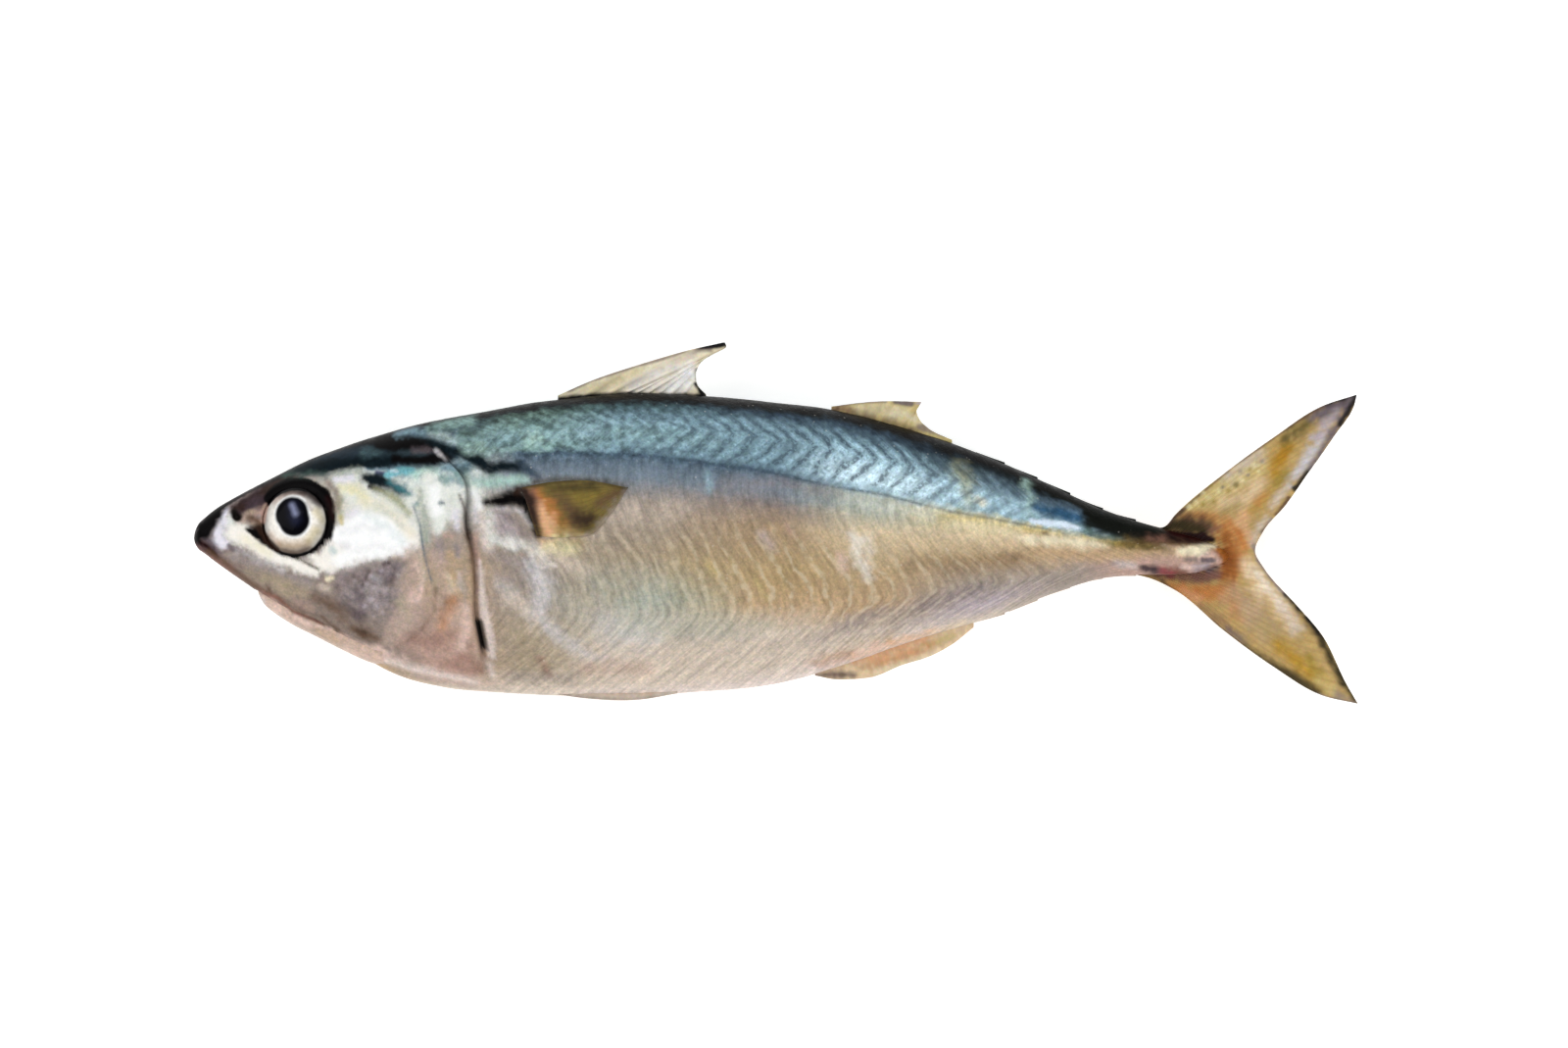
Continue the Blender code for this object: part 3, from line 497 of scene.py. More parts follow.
gillCoverMarks = (
    # the cover's upper part, pale and green, with grey spots
    ("milk", 5, 1, (440, 490, 8), (446, 506, 12), (452, 524, 10), (450, 538, 6)),
    ("white", 5, 0.8, (444, 500, 6), (448, 520, 6)),
    ("seaGreen", 4, 0.8, (453, 488, 3), (457, 492, 2)),
    ("mossTeal", 3, 0.8, (451, 513, 2), (454, 513, 1.6)),
    ("seaGreen", 3, 0.7, (424, 515, 2), (427, 514, 2)),
    ("milk", 4, 0.8, (464, 498, 4), (468, 516, 3.5)),
    ("lilacWhite", 4, 0.7, (466, 524, 3), (468, 538, 3)),
    ("rose", 4, 0.7, (456, 545, 3.5), (462, 546, 3)),
    ("mauve", 5, 0.9, (450, 556, 5), (452, 568, 5)),
    ("tan", 4, 0.8, (459, 566, 3.5), (463, 566, 3)),
    ("mauve", 4, 0.8, (468, 556, 3), (469, 566, 3)),
    ("cream", 4, 0.6, (457, 586, 3), (462, 592, 3.4), (462, 602, 2.4)),
    ("silver", 5, 0.5, (470, 584, 3), (472, 600, 3)),
    # the plate ahead of it, mottled grey and mauve below the cheek
    ("mauve", 7, 0.9, (352, 592, 7), (374, 588, 10), (398, 582, 9), (414, 576, 5)),
    ("coverBeige", 9, 0.9, (420, 562, 5), (424, 582, 8), (422, 606, 12), (414, 632, 12), (400, 650, 8)),
    ("coverBeige", 10, 0.8, (446, 570, 8), (452, 600, 12), (460, 630, 12)),
    ("sand", 5, 0.6, (430, 566, 2), (434, 584, 3), (432, 598, 2)),
    ("plum", 5, 0.6, (392, 582, 5), (406, 576, 5), (396, 596, 4)),
    ("umber", 5, 0.45, (402, 590, 3), (400, 604, 4), (404, 616, 3)),
    ("umber", 6, 0.4, (350, 600, 5), (362, 590, 5), (380, 584, 4)),
    ("mauve", 8, 0.9, (358, 606, 9), (378, 610, 12), (398, 606, 8)),
    ("plum", 5, 0.7, (366, 604, 4), (372, 620, 4), (366, 628, 4)),
    ("darkPlum", 3, 0.75, (394, 575, 2.5), (399, 573, 2)),
    ("darkPlum", 3, 0.6, (378, 582, 2.5), (372, 596, 2)),
    ("silver", 4, 0.8, (382, 588, 2.4), (388, 592, 2.4)),
    ("sage", 7, 0.35, (410, 614, 4), (416, 624, 4)),
    ("pink", 4, 0.8, (424, 603, 3), (422, 612, 3)),
    ("pink", 3, 0.8, (426, 574, 1.6), (431, 590, 1.8), (432, 602, 1.8), (427, 613, 1.6)),
) + tuple(("darkPlum", 3, 0.3, spot) for spot in (
    (354, 590, 2), (363, 586, 2.4), (374, 581, 2.6), (386, 576, 2.4), (404, 579, 2.2), (366, 600, 2.6),
    (358, 611, 2.6), (372, 606, 2), (364, 622, 2.6), (374, 627, 2.4), (384, 634, 2), (393, 588, 2.2),
    (390, 605, 2), (399, 614, 2), (346, 598, 2), (348, 616, 2.2), (336, 608, 2), (414, 574, 2),
)) + tuple(("lilac", 3, 0.55, spot) for spot in (
    (380, 586, 2), (391, 581, 2), (376, 594, 2), (384, 598, 2.2), (380, 611, 3), (386, 618, 2.4),
    (374, 617, 2), (395, 599, 2), (392, 624, 2), (383, 627, 1.8), (364, 592, 1.8), (408, 586, 2),
)) + (
    ("umber", 6, 0.85, (362, 640, 5), (372, 645, 6), (384, 650, 4)),
    ("darkBrown", 4, 0.5, (366, 641, 3), (374, 645, 3)),
    ("umber", 6, 0.6, (322, 606, 4), (334, 615, 5), (345, 622, 4)),
    ("umber", 3, 0.7, (330, 628, 1.6), (340, 637, 1.8), (351, 646, 1.6)),
    ("pink", 5, 0.85, (348, 650, 3), (360, 656, 4), (376, 662, 5), (396, 668, 5)),
    ("taupe", 3, 0.8, (373, 668, 2), (376, 669, 2)),
    ("plum", 5, 0.5, (386, 592, 4), (402, 586, 3)),
    ("darkPlum", 5, 0.5, (352, 612, 4), (360, 622, 5), (370, 630, 4)),
    ("umber", 7, 0.5, (340, 612, 5), (352, 628, 6)),
    ("rose", 10, 0.7, (416, 654, 8), (434, 656, 10), (452, 662, 10), (472, 672, 8)),
    ("redBrown", 8, 0.4, (424, 650, 6), (446, 652, 8), (462, 644, 6)),
    ("warmFawn", 7, 0.7, (444, 584, 4), (446, 598, 4)),
    ("greyFawn", 6, 0.7, (473, 580, 3), (475, 600, 3.4), (476, 618, 3)),
    ("umber", 6, 0.45, (448, 604, 3), (460, 612, 4), (466, 608, 3)),
    ("orange", 7, 0.45, (462, 612, 4), (456, 624, 5), (452, 636, 5)),
    ("umber", 5, 0.4, (456, 616, 3), (451, 628, 3)),
    ("pink", 5, 0.8, (476, 618, 4), (478, 636, 5), (472, 656, 5)),
    ("redBrown", 6, 0.5, (472, 666, 3), (480, 670, 4), (490, 676, 4)),
    ("umber", 4, 0.5, (477, 652, 2), (480, 658, 2)),
    ("rose", 6, 0.7, (462, 680, 5), (480, 684, 5)),
    ("pink", 7, 0.8, (384, 662, 4), (394, 668, 4), (412, 674, 4)),
    ("bellyPink", 6, 0.9, (396, 674, 3), (420, 681, 4), (452, 687, 4), (486, 693, 3)),
    # a thin darker line along the belly's lower edge: painted shade where it turns under
    ("greyFawn", 4, 0.6, (400, 683, 1.6), (430, 692, 1.6), (470, 699, 1.6), (520, 704, 1.6)),
    ("redBrown", 6, 0.4, (456, 674, 4), (478, 678, 5), (492, 680, 4)),
    # edges of the plates
    ("steel", 2.4, 0.75, (424, 517, 1), (430, 535, 1), (433, 555, 1.2), (437, 575, 1.2), (442, 592, 1)),
    ("umber", 3, 0.4, (446, 598, 1), (444, 622, 1.2), (428, 646, 1), (404, 661, 1)),
)

jawMarks = (
    ("coverBeige", 6, 0.9, (300, 634, 4), (322, 644, 5), (346, 656, 5)),
    ("bellyPink", 6, 0.9, (264, 614, 3), (282, 630, 3), (304, 644, 3), (330, 658, 3), (352, 668, 3)),
    ("pink", 5, 0.6, (276, 612, 2), (292, 622, 2.5), (312, 634, 2.5)),
    ("silver", 4, 0.8, (262, 610, 3), (268, 613, 2)),
    ("pink", 2.5, 0.9, (300, 628, 1.4), (320, 637, 1.6), (340, 641, 1.4)),
    ("redBrown", 2.4, 0.9, (270, 604, 1), (284, 609, 1.3), (300, 623, 1.4), (322, 632, 1.4), (332, 637, 1)),
    ("tan", 6, 0.5, (326, 644, 3), (346, 654, 4)),
)

shoulderMarks = (
    ("paleSea", 5, 0.75, (478, 458, 5), (492, 456, 6)),
    ("mossGrey", 5, 0.7, (474, 441, 3), (484, 440, 3)),
    ("seaBlue", 6, 0.6, (516, 452, 5), (530, 450, 5)),
    ("paleSea", 6, 0.7, (540, 447, 5), (552, 446, 4)),
    ("mossTeal", 5, 0.6, (536, 432, 3), (552, 430, 3), (562, 433, 2)),
    ("iceBlue", 6, 0.5, (594, 441, 4), (606, 438, 4)),
    ("deepTeal", 5, 1, (488, 468, 4), (500, 475, 6), (514, 476, 6), (530, 476, 5)),
    ("slate", 5, 0.9, (536, 474, 4), (544, 482, 5), (552, 486, 3)),
    ("mossTeal", 4, 0.7, (476, 480, 4), (484, 477, 2)),
    ("paleSea", 5, 0.95, (480, 493, 5), (496, 492, 5), (512, 490, 5), (526, 489, 4), (538, 490, 3)),
    ("milk", 5, 0.7, (482, 496, 4), (492, 500, 3)),
    ("white", 4, 0.8, (482, 500, 3), (488, 506, 3), (490, 518, 3)),
    # painted shade on the skin along the pectoral fin's top edge
    ("darkOlive", 4, 0.75, (546, 491, 1.6), (580, 488, 2.2), (616, 490, 2), (636, 494, 1.2)),
    ("bellyPink", 6, 0.9, (490, 526, 4), (496, 540, 6), (498, 556, 5)),
    ("lilac", 8, 0.7, (508, 528, 6), (520, 540, 8), (526, 554, 5)),
    ("mauve", 6, 0.5, (512, 533, 3), (524, 543, 3)),
    ("milk", 7, 0.6, (500, 520, 3), (500, 536, 4), (504, 552, 4)),
    ("mauve", 8, 0.5, (510, 568, 6), (528, 574, 6)),
    ("silver", 10, 0.75, (545, 575, 8), (556, 596, 10), (548, 622, 10)),
    ("silver", 8, 0.5, (512, 596, 5), (524, 606, 6)),
    ("plum", 4, 0.6, (510, 520, 2), (520, 525, 2.5), (529, 534, 2.5), (536, 546, 2)),
    ("silver", 4, 0.85, (508, 518, 1.6), (522, 517, 2), (536, 522, 2.4), (544, 534, 2.4)),
    ("milk", 4, 0.8, (503, 550, 2), (516, 555, 2.5), (526, 558, 2)),
    # painted shadow in the pit behind the pectoral fin's base, with dark brown at its ends
    ("ink", 4, 1, (498, 511, 3.4), (507, 510, 5.5), (518, 509, 7.5), (530, 508, 8.5), (539, 514, 6.5),
        (545, 530, 4.4)),
    ("darkBrown", 5, 1, (530, 500, 4), (542, 498, 5)),
    ("darkBrown", 4, 0.9, (546, 540, 3), (549, 548, 2)),
    ("bone", 8, 0.7, (545, 556, 3), (554, 563, 5), (558, 572, 4)),
    ("milk", 6, 0.6, (520, 549, 3), (534, 556, 4)),
    ("peach", 6, 0.7, (556, 552, 4), (566, 553, 3)),
    ("ochre", 7, 0.6, (578, 551, 4), (596, 551, 4)),
    ("lemon", 9, 0.8, (562, 558, 6), (576, 560, 6), (588, 560, 3)),
    # painted glints
    ("white", 3, 0.6, (565, 575, 2), (568, 576, 1.6)),
    ("mauve", 6, 0.35, (508, 586, 4), (520, 590, 4)),
    ("sand", 12, 0.7, (520, 610, 7), (540, 616, 9), (552, 634, 9)),
    ("sand", 10, 0.75, (562, 566, 5), (580, 574, 7), (600, 584, 5)),
    # the rim behind the gill slit, with dark brown and umber painted as shade along the cover's edge
    ("darkBrown", 3, 0.8, (470, 505, 1.6), (476, 520, 1.4), (478, 540, 2.4), (480, 548, 2)),
    ("umber", 4, 0.85, (479, 545, 2), (482, 562, 2), (485, 580, 2), (488, 602, 1.6)),
    ("silver", 4, 0.8, (485, 520, 3), (487, 530, 3)),
    ("rose", 3.5, 0.8, (486, 545, 2.4), (488, 565, 3), (490, 585, 3), (491, 604, 3)),
    ("bellyPink", 3.5, 0.95, (491, 572, 2.4), (493, 600, 3.4), (496, 626, 4.4), (501, 648, 4.4),
        (503, 668, 4)),
    ("bellyPink", 4, 0.9, (500, 676, 3), (504, 688, 3)),
)

flankMarks = (
    ("silver", 9, 0.6, (548, 614, 3), (558, 636, 5), (574, 650, 6), (594, 664, 5), (612, 672, 3)),
    ("silver", 14, 0.4, (612, 622, 8), (624, 644, 14), (660, 650, 12)),
    ("warmFawn", 14, 0.5, (588, 600, 9), (606, 618, 9), (640, 600, 9)),
    ("taupe", 10, 0.45, (514, 650, 5), (524, 664, 6)),
    ("greyFawn", 8, 0.75, (520, 688, 5), (550, 690, 6), (584, 690, 5)),
    ("rose", 9, 0.5, (600, 680, 6), (660, 682, 6)),
    ("redBrown", 5, 0.6, (553, 672, 3.5), (559, 684, 3.5)),
    ("sand", 14, 0.4, (610, 530, 8), (650, 520, 10), (690, 520, 10)),
    ("ochre", 26, 0.35, (700, 575, 12), (740, 588, 16), (790, 590, 16), (830, 580, 12)),
    ("sage", 22, 0.2, (690, 600, 12), (730, 620, 12)),
    ("straw", 4, 0.5, (722, 570, 1.6), (730, 583, 1.6)),
    ("straw", 4, 0.5, (770, 590, 1.6), (784, 610, 1.6)),
    ("lilac", 7, 0.5, (778, 546, 5), (786, 556, 5)),
    ("rose", 5, 0.6, (803, 533, 3), (806, 542, 3.5)),
    ("mauve", 10, 0.5, (740, 492, 5), (800, 494, 5), (856, 503, 4)),
    # a painted glint
    ("iceBlue", 4, 0.7, (722, 482, 2), (725, 500, 2.5)),
    ("mauve", 9, 0.5, (826, 652, 4), (860, 640, 5), (900, 620, 5)),
    ("bone", 7, 0.75, (868, 544, 3), (876, 553, 5), (874, 566, 4), (880, 577, 5), (888, 588, 3)),
    ("milk", 9, 0.35, (866, 508, 4), (900, 514, 6), (950, 523, 5)),
    ("bone", 8, 0.4, (884, 548, 5), (888, 560, 4)),
    ("pink", 6, 0.7, (858, 566, 3), (861, 580, 4)),
    ("umber", 12, 0.35, (930, 574, 6), (980, 576, 8), (1040, 572, 6)),
    ("umber", 6, 0.45, (1022, 566, 4), (1036, 568, 4)),
    ("cream", 8, 0.6, (972, 534, 5), (1004, 537, 6), (1038, 543, 4)),
    ("sage", 9, 0.6, (978, 478, 6), (986, 494, 8), (988, 512, 6)),
    ("steel", 7, 0.5, (1012, 490, 5), (1030, 502, 6)),
    ("paleSea", 6, 0.7, (1046, 492, 3), (1052, 508, 3.4), (1050, 524, 3)),
    ("cream", 4, 0.7, (998, 508, 3), (1003, 513, 3)),
    ("paleIce", 6, 0.6, (890, 484, 4), (920, 492, 5), (950, 499, 4)),
    ("mauve", 12, 0.5, (860, 640, 5), (900, 628, 6), (946, 616, 6), (996, 600, 5)),
    ("plum", 8, 0.35, (940, 618, 3), (976, 608, 3), (1010, 594, 3)),
    ("greyGreen", 14, 0.4, (640, 640, 8), (720, 640, 10), (780, 636, 8)),
    ("umber", 5, 0.5, (832, 688, 2), (852, 687, 3), (874, 686, 2)),
    ("taupe", 14, 0.4, (890, 642, 6), (926, 630, 7), (960, 618, 5)),
    ("rose", 9, 0.5, (830, 672, 5), (862, 668, 6)),
    ("tan", 10, 0.7, (842, 674, 6), (874, 664, 7), (910, 654, 6)),
    ("peach", 8, 0.6, (850, 680, 3), (884, 671, 5), (920, 660, 5), (956, 646, 4)),
)

# where the anal fin leaves the belly, painted on both
finJoinMarks = (
    ("rose", 6, 0.8, (838, 680, 4), (858, 674, 5), (876, 669, 5)),
    ("peach", 6, 0.9, (872, 672, 4), (900, 664, 5), (930, 654, 5), (950, 648, 5)),
    ("pink", 5, 0.7, (876, 664, 3), (900, 658, 3)),
    ("finCream", 5, 0.8, (950, 647, 4), (970, 641, 4), (984, 636, 3)),
)

stemMarks = (
    ("deepBlue", 5, 0.9, (1056, 517, 3.5), (1076, 522, 5), (1100, 528, 5)),
    ("glint", 3, 1, (1052, 531, 2), (1068, 532.5, 3), (1086, 535, 3), (1100, 538, 2)),
    ("cream", 6, 0.95, (1042, 548, 3), (1076, 550, 5), (1108, 553, 5), (1128, 556, 3)),
    ("umber", 3, 0.7, (1064, 543, 2), (1067, 543, 2)),
    ("umber", 3, 0.7, (1084, 543, 2), (1087, 544, 2)),
    ("umber", 3, 0.7, (1099, 545, 2), (1102, 545, 2)),
    ("blackGreen", 6, 1, (1112, 522, 10), (1128, 532, 11), (1150, 538, 10), (1184, 545, 5)),
    ("mossGrey", 5, 0.6, (1108, 540, 2.4), (1124, 545, 2.4), (1142, 548, 2)),
    ("oliveGold", 7, 0.5, (1126, 552, 3), (1150, 555, 4)),
    ("olive", 7, 0.6, (1142, 554, 4), (1164, 557, 5), (1188, 559, 4)),
    ("umber", 7, 0.5, (1148, 553, 3), (1166, 553, 4), (1184, 556, 4)),
    ("blackGreen", 5, 0.95, (1112, 531, 7), (1124, 538, 6), (1140, 543, 5)),
    ("mossGrey", 5, 0.8, (1106, 542, 3), (1120, 547, 2.4), (1134, 549, 2)),
    ("greyGreen", 4, 0.8, (1084, 542, 2.4), (1100, 544, 2.4)),
    ("redBrown", 5, 0.6, (1172, 549, 2.4), (1190, 550, 2.6)),
    ("tan", 5, 0.9, (1120, 564, 5), (1150, 566, 5), (1182, 567, 4)),
    ("silver", 5, 0.5, (1140, 574, 3), (1158, 576, 3)),
)

# the two keels where the stem runs out on the tail, painted on both
keelMarks = (
    ("tan", 6, 0.9, (1192, 562, 4), (1210, 562, 5)),
    ("rose", 5, 0.95, (1164, 571, 4), (1196, 573, 5), (1214, 575, 5), (1240, 574, 5)),
    # a painted highlight along the top of the upper keel
    ("cream", 4, 1, (1204, 562, 2.4), (1222, 560.5, 4.6), (1238, 557, 2.6)),
    ("redBrown", 5, 1, (1188, 583, 4), (1206, 583, 5), (1222, 586, 7), (1240, 585, 7)),
    ("orange", 5, 0.5, (1194, 595, 3), (1220, 600, 4), (1244, 600, 4)),
    ("crimson", 4, 0.7, (1185, 581, 3.4), (1196, 584, 3)),
    ("darkPlum", 4, 0.95, (1168, 579, 3), (1179, 580, 3.8)),
    # pale pink and lilac painted glints on the lower keel
    ("pink", 4, 1, (1209, 578, 3), (1216, 578, 3.4)),
    ("lilac", 4, 0.9, (1221, 577, 3.2), (1232, 576, 3)),
    ("plum", 4, 0.8, (1234, 580, 3), (1241, 579, 2.4)),
    ("pink", 4, 0.8, (1240, 565, 2.2), (1245, 572, 2.4)),
    ("taupe", 2.5, 0.95, (1211, 569.5, 1.8), (1219, 569.5, 1.8)),
    ("plum", 2.5, 0.95, (1227, 570, 2), (1238, 570, 2)),
    ("maroon", 3.5, 1, (1194, 543, 3), (1212, 545.5, 4), (1226, 547, 5), (1237, 550, 3.2)),
    ("redBrown", 5, 0.7, (1238, 541, 3), (1245, 537, 2.6)),
    ("rust", 7, 1, (1250, 552, 3), (1255, 566, 7), (1258, 582, 6)),
    ("deepRust", 5, 0.95, (1250, 562, 3.4), (1254, 570, 5)),
    ("deepRust", 6, 0.7, (1254, 578, 4), (1252, 592, 4)),
)

skinMarks = (
    snoutMarks + headTopMarks + cheekMarks + eyeRingMarks + gillCoverMarks + jawMarks + shoulderMarks
    + flankMarks + finJoinMarks + stemMarks + keelMarks)


skin = {
    "shownSegments": 160,
    "hiddenSegments": 70,
    "headRings": 184,
    "trunkRings": 246,
    "gillStation": 51.5,
    # how far tailwards the cover's edge stands at each level
    "gillLean": (
        (-29, 4.2), (-25.5, 3.6), (-20.7, 2.7), (-15.5, 1.7), (-3.2, 1.2), (1.9, 0), (11.6, -0.7),
        (15.5, -3.6), (27, -5.5),
    ),
    "gillLeanReach": 13.0,
    "gillRaise": 0.9, "gillRamp": 15.0, "gillStep": 0.3, "gillGroove": 0.35, "gillGrooveReach": 2.0,
    "gillSlot": 1.0, "gillSlotLevel": -18.0, "gillSlotSpread": 4.5,
    # a span is its low end, soft width, high end, soft width
    "gillSpan": (-29.0, 5.0, 16.0, 5.0),
    # the painted shade in the crease behind the gill cover, and in the open slot below it
    "slitSpan": (-23.5, 2, 17, 2), "slitOffset": 0.45, "slitWidth": 0.5, "slitShade": 0.75,
    "slotAcross": (0, 0.35, 1.7, 0.35), "slotSpan": (-21.6, 0.8, -15.0, 0.8),
    "socketRadius": 6.35, "socketDepth": 3.0, "socketEdge": 0.7,
    "browRadius": 7.4, "browHeight": 0.25, "browWidth": 0.8,
    "nostril": (8.2, 4.2), "nostrilRadius": 1.0, "nostrilDepth": 0.7, "nostrilEdge": 0.6,
    "lateralRidge": 0.07, "lateralWidth": 0.35,
    "lateralLine": (57, 8, 168, 12), "lateralLineWidth": 0.28,
    "keelSpan": (182, 5, 196, 4), "keelAside": 1.1, "keelHeight": 0.45, "keelWidth": 0.5,
    # height and grain in mm
    "unevenness": ((0.10, 7.0), (0.035, 1.9)),
    # the mouth's crease, darkened along it as painted shade
    "mouth": ((264, 606), (280, 616), (301, 627), (322, 634), (334, 640)),
    "mouthWidth": 0.42, "mouthShade": 0.55,
    "eyeInkRadius": 6.4, "eyeFrontRadius": 7.6,
    "mottledPlate": ((352, 600, 10), (384, 606, 22), (400, 586, 10)),
    # how far tailwards a fold stands at each share of the height above or below the lateral line
    "muscleAbove": ((0, 0), (0.48, 6.2), (1, -3.6)),
    "muscleBelow": ((0, 0), (0.1, 0.0), (0.6, 9.0), (0.66, 9.4), (0.74, 6.5), (1, -7.5)),
    # how strongly folds and mottling show along the fish
    "backFold": (
        (0, 0), (78, 0.0), (84, 0.35), (92, 0.75), (104, 1.0), (138, 1.0), (148, 0.6), (158, 0.15),
        (196, 0)),
    "sideFold": ((0, 0), (58, 0.0), (66, 0.6), (84, 1.0), (140, 1.0), (156, 0.5), (172, 0.1), (196, 0)),
    "mottling": (
        (0, 0.2), (30, 0.35), (50, 0.7), (62, 1.0), (85, 0.85), (100, 0.55), (160, 0.5), (196, 0.4)),
    "leastMottling": 0.15,
    # the shares of the height above and below the lateral line that folds take up
    "foldsAbove": (0.03, 0.1, 0.88, 0.25), "foldsBelow": (0.12, 0.35, 1.0, 0.12),
}
gillLeanAt = smoothLine(skin["gillLean"])


def gillRelief(fromEdge, level):
    ahead = skin["gillRaise"] * smoothStep((fromEdge + skin["gillRamp"]) / skin["gillRamp"])
    slot = skin["gillSlot"] * bump(level - skin["gillSlotLevel"], skin["gillSlotSpread"])
    behind = -(skin["gillGroove"] + slot) * np.exp(-np.clip(fromEdge, 0, None) / skin["gillGrooveReach"])
    return np.where(fromEdge <= 0, ahead, behind) * plateau(level, *skin["gillSpan"])


eye = {
    "station": 19.3, "level": 3.1, "radius": 7.0, "halfDepth": 3.4, "sunk": 1.9,
    "segments": 144, "rings": 110, "irisRadius": 5.8, "shadeRadius": 3.9, "colour": "bone",
    "marks": (
        ("pink", 5, 0.8, (280, 508, 4), (296, 501, 4), (310, 504, 3)),
        ("plum", 5, 0.8, (312, 501, 3), (322, 507, 4), (330, 516, 3)),
        ("cream", 4, 0.9, (326, 522, 4), (332, 532, 3)),
        ("straw", 5, 0.6, (326, 542, 5), (318, 552, 4)),
        ("tan", 6, 0.8, (288, 556, 5), (302, 558, 6), (316, 556, 4)),
        ("taupe", 5, 0.9, (292, 563, 3), (304, 564, 3), (314, 561, 2)),
        ("peach", 5, 0.4, (277, 546, 4), (284, 554, 3)),
        ("umber", 3, 0.6, (288, 560, 2), (304, 564, 2), (318, 559, 2)),
        # dark brown over the top of the iris and plum down its left edge: painted shade from the socket's
        # rim
        ("darkBrown", 4, 0.85, (283, 503, 2), (300, 500, 3), (317, 503, 4), (329, 513, 3)),
        ("plum", 4, 0.5, (270, 520, 2), (269, 538, 3), (276, 552, 2)),
        ("white", 2.6, 1, (301, 523.5, 19.2), (303.5, 531, 18.2)),
        ("taupe", 3, 0.5, (316, 512, 2), (321, 520, 2)),
        ("pupilBlack", 2.6, 1, (300.5, 524, 17.6), (303.5, 531, 16.4)),
        # a painted highlight on the pupil, with a blue glow round it
        ("violetBlue", 8, 0.3, (302, 517, 4), (305, 530, 4)),
        ("eyeGlint", 4, 0.85, (301, 515, 2), (305, 524, 2.6)),
    ),
}

# Lines in the head's plates: depth in mm (raised if negative), width in mm, picture pixels
carvedLines = (
    (0.28, 0.5, ((428, 519), (436, 556), (446, 596), (444, 616), (430, 640), (406, 658), (380, 668))),
    (-0.22, 0.9, ((434, 521), (443, 556), (452, 596), (450, 620))),
    (0.3, 0.35, ((300, 568), (316, 575), (330, 582))),
    (0.45, 0.45, ((262, 605), (280, 616), (301, 627), (322, 634), (334, 640))),
    (-0.18, 1.1, ((240, 552), (270, 568), (300, 584), (326, 598))),
    (0.6, 0.55, ((498, 511), (514, 508), (532, 505), (546, 516), (550, 546))),
    (-0.3, 0.9, ((506, 521), (524, 518), (536, 528), (541, 545))),
    (0.2, 0.5, ((345, 655), (372, 670), (420, 686), (470, 693))),
)


def skinRelief(station, level, fromEdge, points):
    relief = gillRelief(fromEdge, level)
    for depth, width, pixels in carvedLines:
        relief -= depth * bump(lineDistance(station, level, pixels), width)
    away = np.hypot(station - eye["station"], level - eye["level"])
    relief -= skin["socketDepth"] * smoothStep((skin["socketRadius"] - away) / skin["socketEdge"])
    relief += skin["browHeight"] * bump(away - skin["browRadius"], skin["browWidth"])
    away = np.hypot(station - skin["nostril"][0], level - skin["nostril"][1])
    relief -= skin["nostrilDepth"] * smoothStep((skin["nostrilRadius"] - away) / skin["nostrilEdge"])
    onTrunk = smoothStep((station - 58) / 6)
    relief += skin["lateralRidge"] * bump(level - lateralAt(station), skin["lateralWidth"]) * onTrunk
    # the two keels of the tail's stem
    onStem = plateau(station, *skin["keelSpan"])
    fromMiddle = level - (backAt(station) + bellyAt(station)) / 2
    for aside in (skin["keelAside"], -skin["keelAside"]):
        relief += onStem * skin["keelHeight"] * bump(fromMiddle - aside, skin["keelWidth"])
    # flesh is never quite even
    (broad, broadSize), (small, smallSize) = skin["unevenness"]
    relief += broad * latticeNoise(points, broadSize, 3)
    relief += small * latticeNoise(points, smallSize, 4) * onTrunk
    return relief


def skinMesh():
    headPart = skin["gillStation"] * np.linspace(0, 1, skin["headRings"]) ** 1.08
    trunkPart = np.linspace(skin["gillStation"] + skin["gillStep"], fish["bodyEnd"], skin["trunkRings"])
    stations = np.concatenate([headPart, trunkPart])
    around = skin["shownSegments"] + skin["hiddenSegments"]
    piece, ball, ring = ballPiece("fishSkin", around, len(stations) - 1)
    # the shown side, which comes first round the ring, has the finer mesh
    turn = np.round(np.arctan2(ball[:, 1], ball[:, 0]) / (2 * math.pi) * around) % around
    shown = turn / skin["shownSegments"]
    shownAngle = (math.pi * shown + np.arccos(np.clip(1 - 2 * shown, -1, 1))) / 2
    hiddenAngle = math.pi * (1 + (turn - skin["shownSegments"]) / skin["hiddenSegments"])
    angle = np.where(shown <= 1, shownAngle, hiddenAngle)
    station = stations[ring]
    level, _ = sectionPoint(station, angle)
    fromEdge = station - skin["gillStation"]
    station = station + bump(fromEdge, skin["gillLeanReach"]) * gillLeanAt(level)
    level, aside = sectionPoint(station, angle)
    # the relief stands out at a right angle to the section
    _, above, below, halfWidth = sectionSizes(station)
    up, side = np.cos(angle), np.sin(angle)
    rise = up / np.maximum(np.where(up > 0, above, below), 0.01)
    out = side / np.maximum(halfWidth, 0.01)
    size = np.maximum(np.hypot(rise, out), 1e-9)
    relief = skinRelief(station, level, fromEdge, np.stack([station, level, aside], axis=-1))
    setCoords(piece.data, place(station, level + relief * rise / size, aside + relief * out / size))
    turnOutwards(piece.data)
    return piece, station, level, aside, fromEdge


